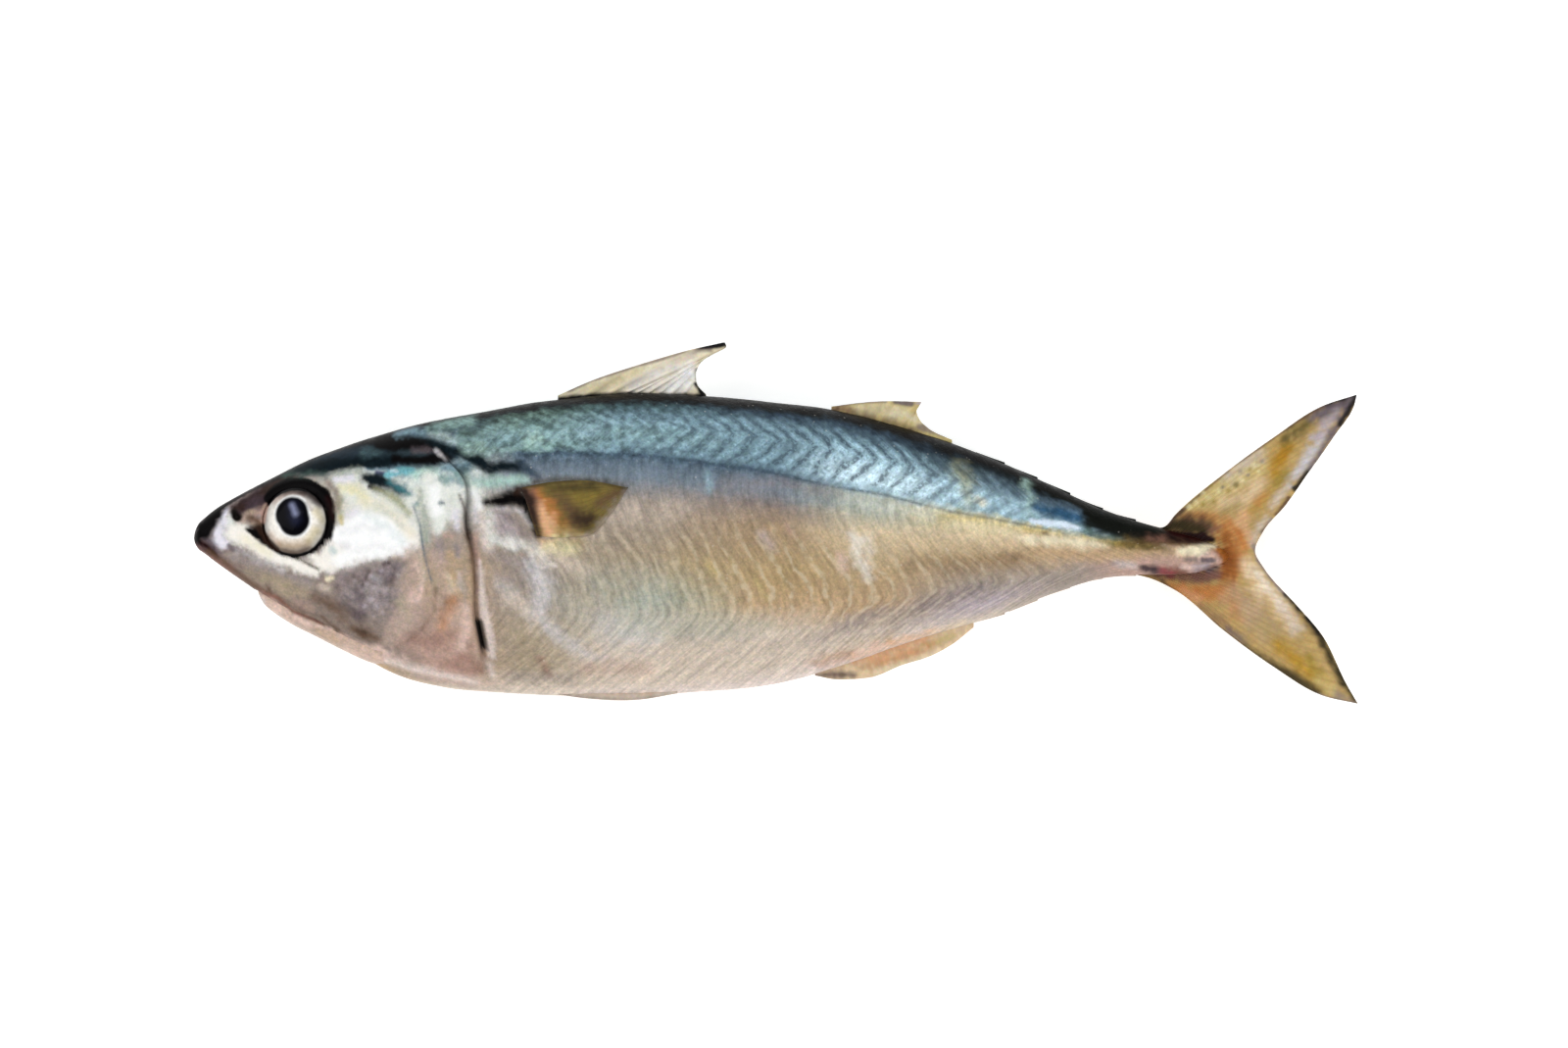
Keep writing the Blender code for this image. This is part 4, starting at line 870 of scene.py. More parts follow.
def paintSkin(piece, station, level, aside, fromEdge):
    mesh = piece.data
    points = np.stack([station, level, aside], axis=-1)
    grain = latticeNoise(points, 1.3, 11) + 0.8 * latticeNoise(points, 0.6, 12)
    wander = latticeNoise(points, 5.0, 13)
    lateral = lateralAt(station)
    above = level > lateral
    colours = bandColours(station + 1.5 * wander, level + 0.5 * grain, skinBands)
    marks = paintMarks(colours, station + 0.15 * wander, level, grain, skinMarks)
    # the marks belong to the sides, and fade out towards the edge of the back and of the belly
    facing = smoothStep(np.abs(aside) / np.maximum(0.35 * halfWidthAt(station), 0.3))
    colours = blend(colours, marks, facing)
    # painted shade in the gill slit's crease behind the cover's edge, soot above and umber below, and the
    # open slot at the bottom painted black as shade
    tone = blend(paintColour("soot"), paintColour("umber"), smoothStep((1 - level) / 5))
    dark = skin["slitShade"] * bump(fromEdge - skin["slitOffset"], skin["slitWidth"])
    colours = blend(colours, tone, dark * plateau(level, *skin["slitSpan"]))
    dark = plateau(fromEdge, *skin["slotAcross"]) * plateau(level, *skin["slotSpan"])
    # the mouth's crease, painted dark as shade
    mouth = skin["mouthShade"] * bump(lineDistance(station, level, skin["mouth"]), skin["mouthWidth"])
    colours = blend(colours, paintColour("ink"), np.maximum(dark, mouth))
    # ink in the socket, and pale skin in front of it
    away = np.hypot(station - eye["station"], level - eye["level"])
    colours = blend(colours, paintColour("ink"), smoothStep((skin["eyeInkRadius"] - away) / 0.4))
    front = paintMarks(colours, station, level, grain, eyeFrontMarks)
    colours = blend(colours, front, smoothStep((skin["eyeFrontRadius"] - away) / 0.6) * facing)
    line = bump(level - lateral, skin["lateralLineWidth"]) * plateau(station, *skin["lateralLine"])
    line = line * (0.55 + 0.25 * wander)
    setPaint(mesh, blend(colours, paintColour("slate"), np.clip(line, 0, 1)))
    # the place along the fish of each fold of muscle, which zigzags from belly to back
    upShare = (level - lateral) / np.maximum(backAt(station) - lateral, 1)
    downShare = (lateral - level) / np.maximum(lateral - bellyAt(station), 1)
    aheadAbove = np.interp(upShare, *zip(*skin["muscleAbove"]))
    aheadBelow = smoothLine(skin["muscleBelow"])(downShare)
    setNumbers(mesh, "muscle", station - np.where(above, aheadAbove, aheadBelow))
    backFold = smoothLine(skin["backFold"])(station) * plateau(upShare, *skin["foldsAbove"])
    sideFold = smoothLine(skin["sideFold"])(station) * plateau(downShare, *skin["foldsBelow"])
    # low on the front half of the belly they are fainter
    lowInFront = smoothStep((downShare - 0.6) / 0.12) * smoothStep((126 - station) / 12)
    sideFold = sideFold * (1 - 0.55 * lowInFront)
    setNumbers(mesh, "backFold", np.where(above, backFold, 0))
    setNumbers(mesh, "sideFold", np.where(above, 0, sideFold))
    setNumbers(mesh, "scaly", smoothStep((fromEdge - 1.5) / 3) * smoothStep((186 - station) / 8))
    mottled = smoothLine(skin["mottling"])(station) * smoothStep((level - lateral + 3) / 3)
    onPlate = smoothStep(0.5 + strokeReach(station, level, fromPixels(skin["mottledPlate"])) / 3.0)
    setNumbers(mesh, "mottled", np.maximum(np.maximum(mottled, skin["leastMottling"]), 0.5 * onPlate))


def addNode(tree, kind, inputs=(), **settings):
    # An input is a value, a socket, or a node that stands for its first output
    made = tree.nodes.new("ShaderNode" + kind)
    for name, value in settings.items():
        setattr(made, name, value)
    for name, value in inputs.items() if isinstance(inputs, dict) else enumerate(inputs):
        if isinstance(value, bpy.types.Node):
            value = value.outputs[0]
        if isinstance(value, bpy.types.NodeSocket):
            tree.links.new(value, made.inputs[name])
        else:
            made.inputs[name].default_value = value
    return made


def newFinish(name):
    finish = bpy.data.materials.new(name)
    finish.use_nodes = True
    return finish, finish.node_tree, finish.node_tree.nodes["Principled BSDF"]


def paintedFinish(name, *numbers):
    # A finish over the painted colours, with the place in mm and the mesh's own numbers
    finish, tree, shader = newFinish(name)
    paint, *values = [addNode(tree, "Attribute", attribute_name=title) for title in ("paint", *numbers)]
    coords = addNode(tree, "TexCoord")
    spot = addNode(tree, "Mapping", {"Vector": coords.outputs["Object"], "Scale": (1000, 1000, 1000)})
    numbers = [value.outputs["Fac"] for value in values]
    return finish, tree, shader, paint.outputs["Color"], spot, *numbers


pattern = {
    # mm: pigment grains, the slow drift of the folds, folds and threads, painted glints of scales, scales.
    # Real pigment cells are finer, and are drawn as coarse as they need to be to show
    "coarse": 5 / 3, "fine": 5 / 7, "dust": 5 / 14, "drift": 5.0,
    "foldPitch": 3.8, "threadPitch": 1.9, "scaleGlint": 10 / 9, "scale": 1.25,
    # mm: blotches and speckles of a fin, and flecks of the iris
    "finBlotch": 10 / 7, "finSpeckle": 10 / 19, "iris": 5 / 7,
}


def wetSkin():
    # Fresh skin: thin scales in clear slime over silver and blue pigment, so the colour is
    # deep, the gloss is soft and a little broken, and folds of muscle show through
    finish, tree, shader, paint, spot, muscle, backFold, sideFold, scaly, mottled = paintedFinish(
        "wetMackerelSkin", "muscle", "backFold", "sideFold", "scaly", "mottled")
    coarse, fine, dust, drift = [
        addNode(tree, "TexNoise", {
            "Vector": spot, "Scale": 1 / pattern[grain], "Detail": detail, "Roughness": roughness})
        for grain, detail, roughness in (
            ("coarse", 3.0, 0.6), ("fine", 2.0, 0.6), ("dust", 1.0, 0.5), ("drift", 2.0, 0.5))]
    # folds: thin dark dashes with a sharp bend, broken and a little uneven. The side's are
    # faint pale threads half as far apart, each second one stronger
    wobble = addNode(tree, "Math", (drift, 5.0, muscle), operation="MULTIPLY_ADD")
    turns = [
        addNode(tree, "Math", (wobble, 2 * math.pi / pattern[pitch]), operation="MULTIPLY")
        for pitch in ("foldPitch", "threadPitch")]
    wave, half = [addNode(tree, "Math", (turn,), operation="COSINE") for turn in turns]
    both = addNode(tree, "Math", (half, 0.8, wave), operation="MULTIPLY_ADD")
    broken = addNode(tree, "MapRange", (fine, 0.34, 0.56), interpolation_type="SMOOTHSTEP")
    patchy = addNode(tree, "MapRange", (coarse, 0.36, 0.6, 0.25, 1.0), interpolation_type="SMOOTHSTEP")
    # painted glints: pale dots where scales catch the light, in patches
    flecks = addNode(tree, "TexVoronoi", {"Vector": spot, "Scale": 1 / pattern["scaleGlint"], "Randomness": 1.0})
    glintPatches = addNode(tree, "MapRange", (coarse, 0.52, 0.68), interpolation_type="SMOOTHSTEP")
    # each share rises from one value of its wave to the other, up to this much
    shares = []
    for source, low, high, most, along, breaks in (
            (wave, 0.1, 0.95, 0.6, backFold, broken), (wave, 0.0, -0.9, 0.35, backFold, broken),
            (both, 0.1, 1.6, 0.34, sideFold, patchy), (both, 0.1, -1.3, 0.16, sideFold, patchy),
            (flecks, 0.24, 0.1, 0.2, scaly, glintPatches)):
        share = addNode(tree, "MapRange", (source, low, high, 0.0, most), interpolation_type="SMOOTHSTEP")
        for factor in (along, breaks):
            share = addNode(tree, "Math", (share, factor), operation="MULTIPLY")
        shares.append(share)
    darkShare, paleShare, threadShare, gapShare, scaleGlintShare = shares
    # mottling: pigment cells swing the tone and the hue about the painted ones, and brush
    # strokes run along the folds
    level = addNode(tree, "SeparateXYZ", (spot,)).outputs["Y"]
    brushed = addNode(tree, "CombineXYZ", [
        addNode(tree, "Math", (value, stretch), operation="MULTIPLY")
        for value, stretch in ((muscle, 0.75), (level, 0.16))])
    streak = addNode(tree, "TexNoise", {"Vector": brushed, "Scale": 1.0, "Detail": 3.0, "Roughness": 0.65})
    coarseSwing, fineSwing, dustSwing, streakSwing = [
        addNode(tree, "MapRange", (source, 0.5 - reach, 0.5 + reach, dark, light))
        for source, reach, dark, light in (
            (coarse, 0.14, 0.54, 1.44), (fine, 0.2, 0.9, 1.1), (dust, 0.25, 0.95, 1.05),
            (streak, 0.2, 0.76, 1.24))]
    swing = addNode(tree, "Mix", {0: mottled, 2: 1.0, 3: coarseSwing}, data_type="FLOAT")
    streaked = addNode(tree, "Mix", {0: scaly, 2: 1.0, 3: streakSwing}, data_type="FLOAT")
    for factor in (fineSwing, streaked, dustSwing):
        swing = addNode(tree, "Math", (swing, factor), operation="MULTIPLY")
    # the palest paints are the least mottled
    grey = addNode(tree, "RGBToBW", (paint,))
    grainy = addNode(tree, "MapRange", (grey, 0.5, 0.85, 1.0, 0.3), interpolation_type="SMOOTHSTEP")
    swing = addNode(tree, "Mix", {0: grainy, 2: 1.0, 3: swing}, data_type="FLOAT")
    toned = addNode(tree, "VectorMath", {0: paint, "Scale": swing}, operation="SCALE")
    hues = addNode(
        tree, "VectorMath", (fine.outputs["Color"], (0.24, 0.2, 0.3), (0.88, 0.9, 0.85)),
        operation="MULTIPLY_ADD")
    hued = addNode(tree, "VectorMath", (toned, hues), operation="MULTIPLY")
    colour = addNode(tree, "Mix", {0: grainy, 6: toned, 7: hued}, data_type="RGBA").outputs[2]
    paler = addNode(tree, "Math", (paleShare, 1.0), operation="ADD")
    colour = addNode(tree, "VectorMath", {0: colour, "Scale": paler}, operation="SCALE").outputs[0]
    # slate folds, pale threads, umber gaps, and bone dots that are painted glints of scales
    for share, name in (
            (darkShare, "slate"), (threadShare, "thread"), (gapShare, "umber"), (scaleGlintShare, "bone")):
        tinted = addNode(tree, "Mix", {0: share, 6: colour, 7: (*paintColour(name), 1)}, data_type="RGBA")
        colour = tinted.outputs[2]
    tree.links.new(colour, shader.inputs["Base Color"])
    # the scales show in the slime's relief only
    scales = addNode(
        tree, "TexVoronoi", {"Vector": spot, "Scale": 1 / pattern["scale"]}, feature="DISTANCE_TO_EDGE")
    inside = addNode(tree, "MapRange", (scales, 0.0, 0.12), interpolation_type="SMOOTHSTEP")
    relief = addNode(tree, "Math", (inside, scaly), operation="MULTIPLY")
    for source, height in ((fine, 0.8), (threadShare, 3.0)):
        relief = addNode(tree, "Math", (source, height, relief), operation="MULTIPLY_ADD")
    raised = addNode(tree, "Bump", {"Strength": 0.35, "Distance": 0.00008, "Height": relief})
    tree.links.new(raised.outputs[0], shader.inputs["Normal"])
    glossy = addNode(tree, "MapRange", (coarse, 0.3, 0.7, 0.3, 0.46), interpolation_type="SMOOTHSTEP")
    tree.links.new(glossy.outputs[0], shader.inputs["Roughness"])
    shader.inputs["Specular IOR Level"].default_value = 0.06
    shader.inputs["IOR"].default_value = 1.4
    return finish


def pieceFromGrid(name, columns, rows):
    bm = bmesh.new()
    bmesh.ops.create_grid(bm, x_segments=columns, y_segments=rows, size=0.5)
    piece = newPiece(name, bm)
    flat = meshCoords(piece.data)
    return piece, flat[:, 0] + 0.5, flat[:, 1] + 0.5


def thicken(piece, thickness, weights):
    # The skin of a fin is thin, and each ray is a ridge in it
    group = piece.vertex_groups.new(name="thickness")
    for index, weight in enumerate(np.clip(weights, 0.02, 1)):
        group.add([index], float(weight), "REPLACE")
    wall = piece.modifiers.new("Thickness", "SOLIDIFY")
    wall.thickness = thickness * 0.001
    wall.offset = 0
    wall.vertex_group = group.name


def rayProfile(across, rays, sharpness=3.0):
    # 1 on each ray and 0 halfway between two
    return np.abs(np.cos(math.pi * across * rays)) ** sharpness


def paintFin(piece, form, station, level, seed, across, out):
    grain = raggedness(np.stack([station, level, 0 * level], axis=-1), 1.2, seed)
    colours = evenCoat(form["colour"], station)
    setPaint(piece.data, paintMarks(colours, station, level, grain, form["marks"]))
    setNumbers(piece.data, "ray", across * form["rays"])
    setNumbers(piece.data, "out", out)


def finPiece(name, form, root, edge, aside, bend=None):
    piece, across, out = pieceFromGrid(name, form["columns"], form["rows"])
    flat = root(across) + (edge(across) - root(across)) * out[:, None]
    if bend is not None:
        flat = flat + bend(across, out)
    station, level = flat[:, 0], flat[:, 1]
    setCoords(piece.data, place(station, level, aside(station, level, across, out)))
    ray = rayProfile(across, form["rays"])
    thicken(piece, form["thickness"], (1 - 0.6 * out) * (form["membrane"] + (1 - form["membrane"]) * ray))
    paintFin(piece, form, station, level, 21, across, out)
    return piece


def wetFin():
    # Fin: a clear tinted membrane over bony rays. The rays are a little darker and the
    # membrane glows pale, with a wet gloss
    finish, tree, shader, paint, spot, ray, out = paintedFinish("wetFinMembrane", "ray", "out")
    blotch, speckle = [
        addNode(tree, "TexNoise", {
            "Vector": spot, "Scale": 1 / pattern[grain], "Detail": detail, "Roughness": 0.6})
        for grain, detail in (("finBlotch", 3.0), ("finSpeckle", 2.0))]
    ridge = addNode(tree, "Math", (ray, math.pi), operation="MULTIPLY")
    for operation in ("COSINE", "ABSOLUTE"):
        ridge = addNode(tree, "Math", (ridge,), operation=operation)
    rayOn = addNode(tree, "MapRange", (ridge, 0.75, 1.0), interpolation_type="SMOOTHSTEP")
    uneven = addNode(tree, "MapRange", (blotch, 0.35, 0.65, 0.03, 0.3))
    rayShare = addNode(tree, "Math", (rayOn, uneven), operation="MULTIPLY")
    darker = addNode(tree, "VectorMath", (paint, (0.5, 0.43, 0.36)), operation="MULTIPLY")
    rayed = addNode(tree, "Mix", {0: rayShare, 6: paint, 7: darker}, data_type="RGBA")
    tone = addNode(tree, "MapRange", (blotch, 0.3, 0.7, 0.86, 1.14))
    toned = addNode(tree, "VectorMath", {0: rayed.outputs[2], "Scale": tone}, operation="SCALE")
    # the speckles are paler and darker, and of a slightly different hue
    hues = addNode(
        tree, "VectorMath", (speckle.outputs["Color"], (0.32, 0.34, 0.42), (0.84, 0.83, 0.79)),
        operation="MULTIPLY_ADD")
    hued = addNode(tree, "VectorMath", (toned, hues), operation="MULTIPLY")
    tree.links.new(hued.outputs[0], shader.inputs["Base Color"])
    height = addNode(tree, "Math", (blotch, 0.4, rayOn), operation="MULTIPLY_ADD")
    raised = addNode(tree, "Bump", {"Strength": 0.4, "Distance": 0.0001, "Height": height})
    tree.links.new(raised.outputs[0], shader.inputs["Normal"])
    glossy = addNode(tree, "MapRange", {"Value": out, "To Min": 0.34, "To Max": 0.5})
    tree.links.new(glossy.outputs[0], shader.inputs["Roughness"])
    shader.inputs["Specular IOR Level"].default_value = 0.16
    return finish


def sunkBase(span, lineAt, depth):
    # The foot of a fin along the back or the belly, this deep in the flesh
    def at(share):
        along = span[0] + (span[1] - span[0]) * share
        return np.stack([along, lineAt(along) + depth], axis=-1)

    return at


def outerEdge(lead, trail, leadShare):
    leading, trailing = smoothPath(lead), smoothPath(trail)

    def at(share):
        first = leading(np.clip(share / leadShare, 0, 1))
        second = trailing(np.clip((share - leadShare) / (1 - leadShare), 0, 1))
        return np.where((share < leadShare)[:, None], first, second)

    return at


def hanging(sag, wave=0.0, stand=0.0):
    # Fins in the middle plane hang a little and are never quite flat
    def aside(station, level, across, out):
        past = np.maximum(np.maximum(level - backAt(station), bellyAt(station) - level), 0)
        return stand - sag * past + wave * np.sin(across * math.pi * 9) * np.minimum(past, 3) / 3

    return aside


spinyDorsal = {
    "name": "spinyDorsalFin", "base": (68.9, 97.0), "sag": 0.12, "leadShare": 0.25,
    "lead": ((68.9, 27.0), (74.5, 29.5), (83.8, 32.7), (93.0, 35.4), (100.4, 37.1)),
    "trail": (
        (100.4, 37.1), (100.7, 36.5), (98.2, 35.0), (96.2, 33.6), (95.0, 31.3), (95.3, 29.0), (96.9, 27.2)),
    "columns": 150, "rows": 44, "rays": 10, "thickness": 0.9, "membrane": 0.3,
    "colour": "cream",
    "marks": (
        ("bone", 12, 0.9, (650, 398, 6), (676, 388, 10), (700, 380, 10)),
        ("white", 8, 0.9, (684, 399, 6), (698, 388, 8), (706, 374, 5)),
        ("straw", 8, 0.45, (600, 399, 4), (624, 390, 3), (650, 378, 3)),
        ("silver", 6, 0.6, (640, 392, 1.5), (690, 374, 1.5)),
        ("silver", 5, 0.5, (668, 398, 1.5), (702, 384, 1.5)),
        ("taupe", 2.4, 0.9, (582, 398, 1.6), (600, 389, 1.4), (640, 376, 1.4), (680, 364.5, 1.4),
            (700, 358, 1.8)),
        ("sand", 4, 0.8, (690, 368, 3), (708, 362, 3)),
        ("ink", 2.5, 1, (714, 354.5, 2.6), (726, 351.5, 4.5), (742, 349, 4)),
        ("plum", 3, 0.6, (708, 358, 2), (726, 357, 2)),
        ("mossGrey", 3, 0.7, (711, 376, 1.8), (711.5, 385, 2)),
        ("ink", 2.5, 1, (710, 391, 1.4), (718, 402, 2.4)),
        ("ink", 3, 1, (566, 408, 4), (600, 404, 3), (640, 403, 3.4), (700, 404, 3.4), (724, 405, 3.4)),
    ),
}

softDorsal = {
    "name": "softDorsalFin", "base": (120.6, 143.4), "sag": 0.15, "leadShare": 0.55,
    "lead": ((120.6, 24.9), (124.2, 25.4), (130.0, 25.9), (137.6, 25.8)),
    "trail": ((137.6, 25.8), (136.7, 24.4), (137.4, 22.3), (138.8, 20.9), (143.4, 18.6)),
    "columns": 130, "rows": 30, "rays": 13, "thickness": 0.9, "membrane": 0.45,
    "colour": "straw",
    "marks": (
        ("cream", 8, 0.8, (878, 416, 4), (900, 418, 5), (924, 422, 5), (936, 430, 4)),
        ("oliveGold", 4, 0.3, (880, 418, 3), (906, 417, 2)),
        ("redBrown", 4, 0.8, (852, 416, 2.4), (866, 418, 3)),
        ("umber", 5, 0.7, (856, 419, 3), (880, 424, 3.4), (908, 431, 3.4), (936, 439, 3)),
        ("taupe", 2.4, 0.9, (856, 412, 1.4), (880, 410, 1.4), (904, 408.5, 1.4)),
        ("plum", 2.6, 0.9, (914, 409, 3), (930, 411, 3.4)),
        ("lilac", 2.4, 0.9, (936, 410.5, 1.8), (943, 411, 1.6)),
        ("taupe", 3, 0.8, (938, 435, 3), (952, 438, 4), (964, 443, 3)),
        ("soot", 5, 1, (846, 424, 5), (870, 429, 5), (900, 437, 5), (930, 446, 5), (966, 458, 5)),
    ),
}

analFin = {
    "name": "analFin", "base": (117.5, 147.5), "sag": 0.1, "leadShare": 0.2,
    "lead": ((117.5, -25.9), (121.0, -26.6), (125.0, -26.6)),
    "trail": (
        (125.0, -26.6), (128.3, -26.2), (133.8, -24.0), (139.4, -22.2), (143.6, -19.9), (147.5, -16.8)),
    "columns": 130, "rows": 30, "rays": 13, "thickness": 0.9, "membrane": 0.45,
    "colour": "finCream",
    "marks": (
        ("tan", 8, 0.8, (880, 680, 4), (910, 672, 5), (944, 660, 5), (966, 650, 3)),
        ("peach", 7, 0.6, (884, 674, 4), (914, 666, 4), (944, 655, 4)),
        ("orange", 7, 0.4, (888, 677, 3), (908, 672, 3.4), (930, 664, 4), (948, 657, 3.4)),
        ("tailGold", 4, 0.7, (940, 657, 2.4), (954, 654, 3)),
        ("pink", 4, 0.8, (900, 660, 2), (930, 651, 2), (960, 643, 2)),
        ("straw", 4, 0.9, (958, 652, 2.4), (972, 645, 3)),
        ("pink", 4, 0.8, (978, 640, 3), (986, 636, 2)),
        ("cream", 5, 0.6, (896, 685, 2), (930, 676, 2), (958, 665, 2)),
        ("taupe", 4, 0.9, (832, 688, 3), (850, 687, 4), (870, 688, 3)),
        ("umber", 4, 0.6, (842, 687, 2.4), (858, 687, 3), (872, 688, 2)),
    ) + finJoinMarks,
}

tailFin = {
    "root": ((181.0, 2.0), (186.0, -0.6), (190.0, -2.6), (186.0, -4.8), (177.0, -6.6)),
    "upperLead": (
        (181.0, 2.0), (183.6, 2.2), (185.7, 4.5), (195.0, 12.3), (204.2, 19.0), (213.5, 25.0),
        (220.1, 27.2)),
    "lowerLead": (
        (177.0, -6.6), (181.1, -7.6), (185.7, -9.8), (195.0, -17.5), (204.2, -24.2), (213.5, -29.7),
        (220.3, -31.3)),
    "edge": (
        (220.1, 27.2), (219.6, 25.2), (215.7, 19.2), (211.1, 12.7), (206.5, 6.2), (202.4, 1.4),
        (200.8, -2.5), (202.4, -5.5), (208.9, -12.9), (213.5, -18.3), (218.1, -27.5), (220.3, -31.3)),
    "columns": 260, "rows": 90, "rays": 34, "thickness": 1.0, "membrane": 0.5,
    "colour": "tailGold",
    "marks": (
        # the upper lobe, from the root outwards
        ("straw", 12, 0.9, (1206, 524, 5), (1222, 512, 9), (1242, 500, 12), (1264, 488, 12),
            (1284, 474, 9)),
        ("finCream", 10, 0.8, (1252, 516, 8), (1270, 508, 9), (1284, 496, 8)),
        ("sand", 9, 0.8, (1254, 484, 5), (1268, 473, 7), (1284, 464, 6)),
        ("orange", 7, 0.35, (1204, 526, 3), (1222, 524, 4), (1240, 526, 4)),
        ("rust", 6, 0.7, (1208, 527, 3), (1222, 526, 4), (1236, 529, 4)),
        ("umber", 6, 1, (1196, 533, 6), (1214, 533, 8), (1232, 537, 8)),
        ("darkOlive", 5, 1, (1188, 539, 5), (1200, 534, 6), (1214, 537, 6), (1228, 541, 4)),
        ("oliveGold", 6, 0.6, (1250, 522, 5), (1264, 514, 4)),
        ("peach", 7, 0.8, (1262, 534, 5), (1272, 526, 5)),
        ("gold", 6, 0.6, (1278, 520, 4), (1290, 508, 5), (1296, 498, 4)),
        ("orange", 5, 0.5, (1282, 512, 3), (1290, 504, 3)),
        ("gold", 8, 1, (1302, 482, 5), (1306, 468, 8), (1314, 454, 7)),
        ("rust", 7, 0.25, (1304, 474, 4), (1312, 458, 4)),
        ("oliveGold", 7, 0.85, (1304, 494, 4), (1314, 482, 4)),
        ("olive", 7, 1, (1312, 448, 5), (1324, 438, 7), (1336, 432, 5)),
        ("sand", 5, 0.9, (1298, 516, 3), (1306, 506, 3.4), (1314, 496, 3)),
        ("silver", 7, 0.95, (1318, 490, 3), (1330, 475, 5), (1340, 461, 6), (1349, 446, 5)),
        ("lilac", 7, 0.9, (1344, 446, 4), (1352, 435, 5), (1362, 425, 5)),
        ("plum", 6, 1, (1342, 425, 5), (1358, 417, 8), (1374, 411, 7)),
        ("lilac", 5, 0.6, (1352, 431, 2.4), (1366, 418, 2.4)),
        ("darkPlum", 4, 0.6, (1346, 417, 3), (1362, 409, 3.4), (1374, 407, 3)),
        ("ink", 3, 1, (1350, 411, 2), (1362, 406, 3.4), (1374, 403, 4.6), (1388, 402, 6)),
        ("plum", 4, 1, (1380, 408, 4), (1374, 420, 4), (1364, 436, 3.4), (1350, 458, 3), (1338, 477, 2.6)),
        ("soot", 3, 0.95, (1387, 403, 3), (1380, 414, 3), (1368, 432, 3)),
        ("soot", 3, 0.95, (1335, 481, 2.6), (1323, 498, 3.4)),
        ("umber", 3, 0.9, (1316, 508, 2.6), (1304, 524, 2.6)),
        ("umber", 3, 0.9, (1298, 531, 2.6), (1288, 542, 2.6)),
        ("sand", 6, 0.8, (1292, 528, 3), (1284, 540, 4), (1278, 552, 4)),
        ("ink", 3, 0.9, (1184, 538, 2.4), (1194, 532, 2.2), (1208, 519, 1.4)),
        ("umber", 2.4, 0.8, (1192, 534, 1.8), (1220, 508, 1.4), (1260, 474, 1.2), (1300, 446, 1.4),
            (1356, 408, 1.8)),
    ) + tuple((paint, 3, 0.75, spot) for paint, spot in (
        ("lemon", (1214, 516, 2.4)), ("lemon", (1221, 511, 2.4)), ("oliveGold", (1228, 514, 2.2)),
        ("lemon", (1234, 507, 2.6)), ("oliveGold", (1239, 511, 2)), ("lemon", (1244, 500, 2.2)),
        ("plum", (1248, 496, 1.8)), ("oliveGold", (1254, 500, 2.2)), ("olive", (1262, 494, 2.6)),
        ("lemon", (1268, 489, 2)), ("taupe", (1274, 484, 2)), ("lemon", (1280, 474, 2.6)),
        ("oliveGold", (1276, 478, 2)), ("lemon", (1285, 480, 2)), ("taupe", (1266, 480, 2)),
        ("lemon", (1228, 502, 2)), ("oliveGold", (1236, 494, 2)), ("taupe", (1288, 470, 2)),
    )) + (
        # the middle
        ("orange", 9, 0.8, (1250, 536, 8), (1262, 556, 10), (1256, 584, 10)),
        ("rust", 9, 1, (1248, 542, 5), (1257, 556, 8), (1254, 576, 8), (1248, 588, 5)),
        ("deepRust", 6, 0.7, (1250, 566, 5), (1256, 576, 5)),
        ("orange", 5, 0.9, (1256, 534, 3), (1266, 546, 4), (1270, 558, 4)),
        ("peach", 4, 0.7, (1270, 536, 3), (1276, 548, 3)),
        # the lower lobe
        ("redBrown", 6, 0.9, (1178, 585, 4), (1206, 589, 5), (1232, 590, 5)),
        ("orange", 6, 0.8, (1196, 599, 4), (1222, 606, 7), (1240, 606, 7)),
        ("peach", 6, 0.6, (1206, 600, 4), (1222, 610, 5)),
        ("rust", 5, 0.5, (1224, 600, 3), (1244, 598, 4)),
        ("tan", 10, 0.95, (1256, 606, 10), (1276, 622, 13), (1296, 642, 13)),
        ("orange", 9, 0.5, (1248, 600, 5), (1258, 612, 6), (1262, 628, 4)),
        ("ochre", 8, 0.8, (1290, 636, 8), (1306, 652, 9)),
        ("gold", 8, 0.85, (1304, 656, 6), (1326, 676, 8), (1350, 698, 6)),
        ("oliveGold", 6, 0.7, (1336, 672, 4), (1346, 688, 4)),
        ("redBrown", 5, 0.5, (1226, 618, 3), (1244, 632, 3), (1262, 646, 3)),
        ("plum", 5, 0.6, (1254, 642, 3), (1272, 656, 4)),
        ("finCream", 10, 0.95, (1272, 576, 5), (1286, 596, 7), (1302, 614, 8), (1318, 632, 6)),
        ("bone", 8, 0.5, (1282, 582, 3), (1298, 602, 4), (1312, 618, 4)),
        ("sand", 7, 0.8, (1310, 622, 4), (1324, 640, 5)),
        ("straw", 7, 0.7, (1346, 694, 4), (1358, 702, 4)),
        ("taupe", 5, 0.7, (1366, 708, 3), (1380, 714, 3)),
        ("taupe", 3, 1, (1280, 556, 2.4), (1285, 570, 2.4), (1297, 588, 2.4), (1312, 605, 2.4)),
        ("soot", 4, 1, (1313, 606, 2.4), (1326, 620, 3.4), (1339, 635, 4.4), (1350, 650, 4.4)),
        ("darkOlive", 4, 1, (1350, 652, 4), (1361, 674, 4), (1374, 698, 4), (1387, 717, 3)),
        ("darkOlive", 5, 0.95, (1270, 659, 4), (1290, 673, 5), (1320, 691, 6), (1344, 706, 4)),
        ("umber", 2.6, 0.8, (1186, 592, 1.6), (1220, 619, 1.6), (1250, 645, 1.8), (1280, 668, 2)),
        ("taupe", 2.4, 0.8, (1346, 709, 1.8), (1386, 718, 1.6)),
    ) + keelMarks,
}


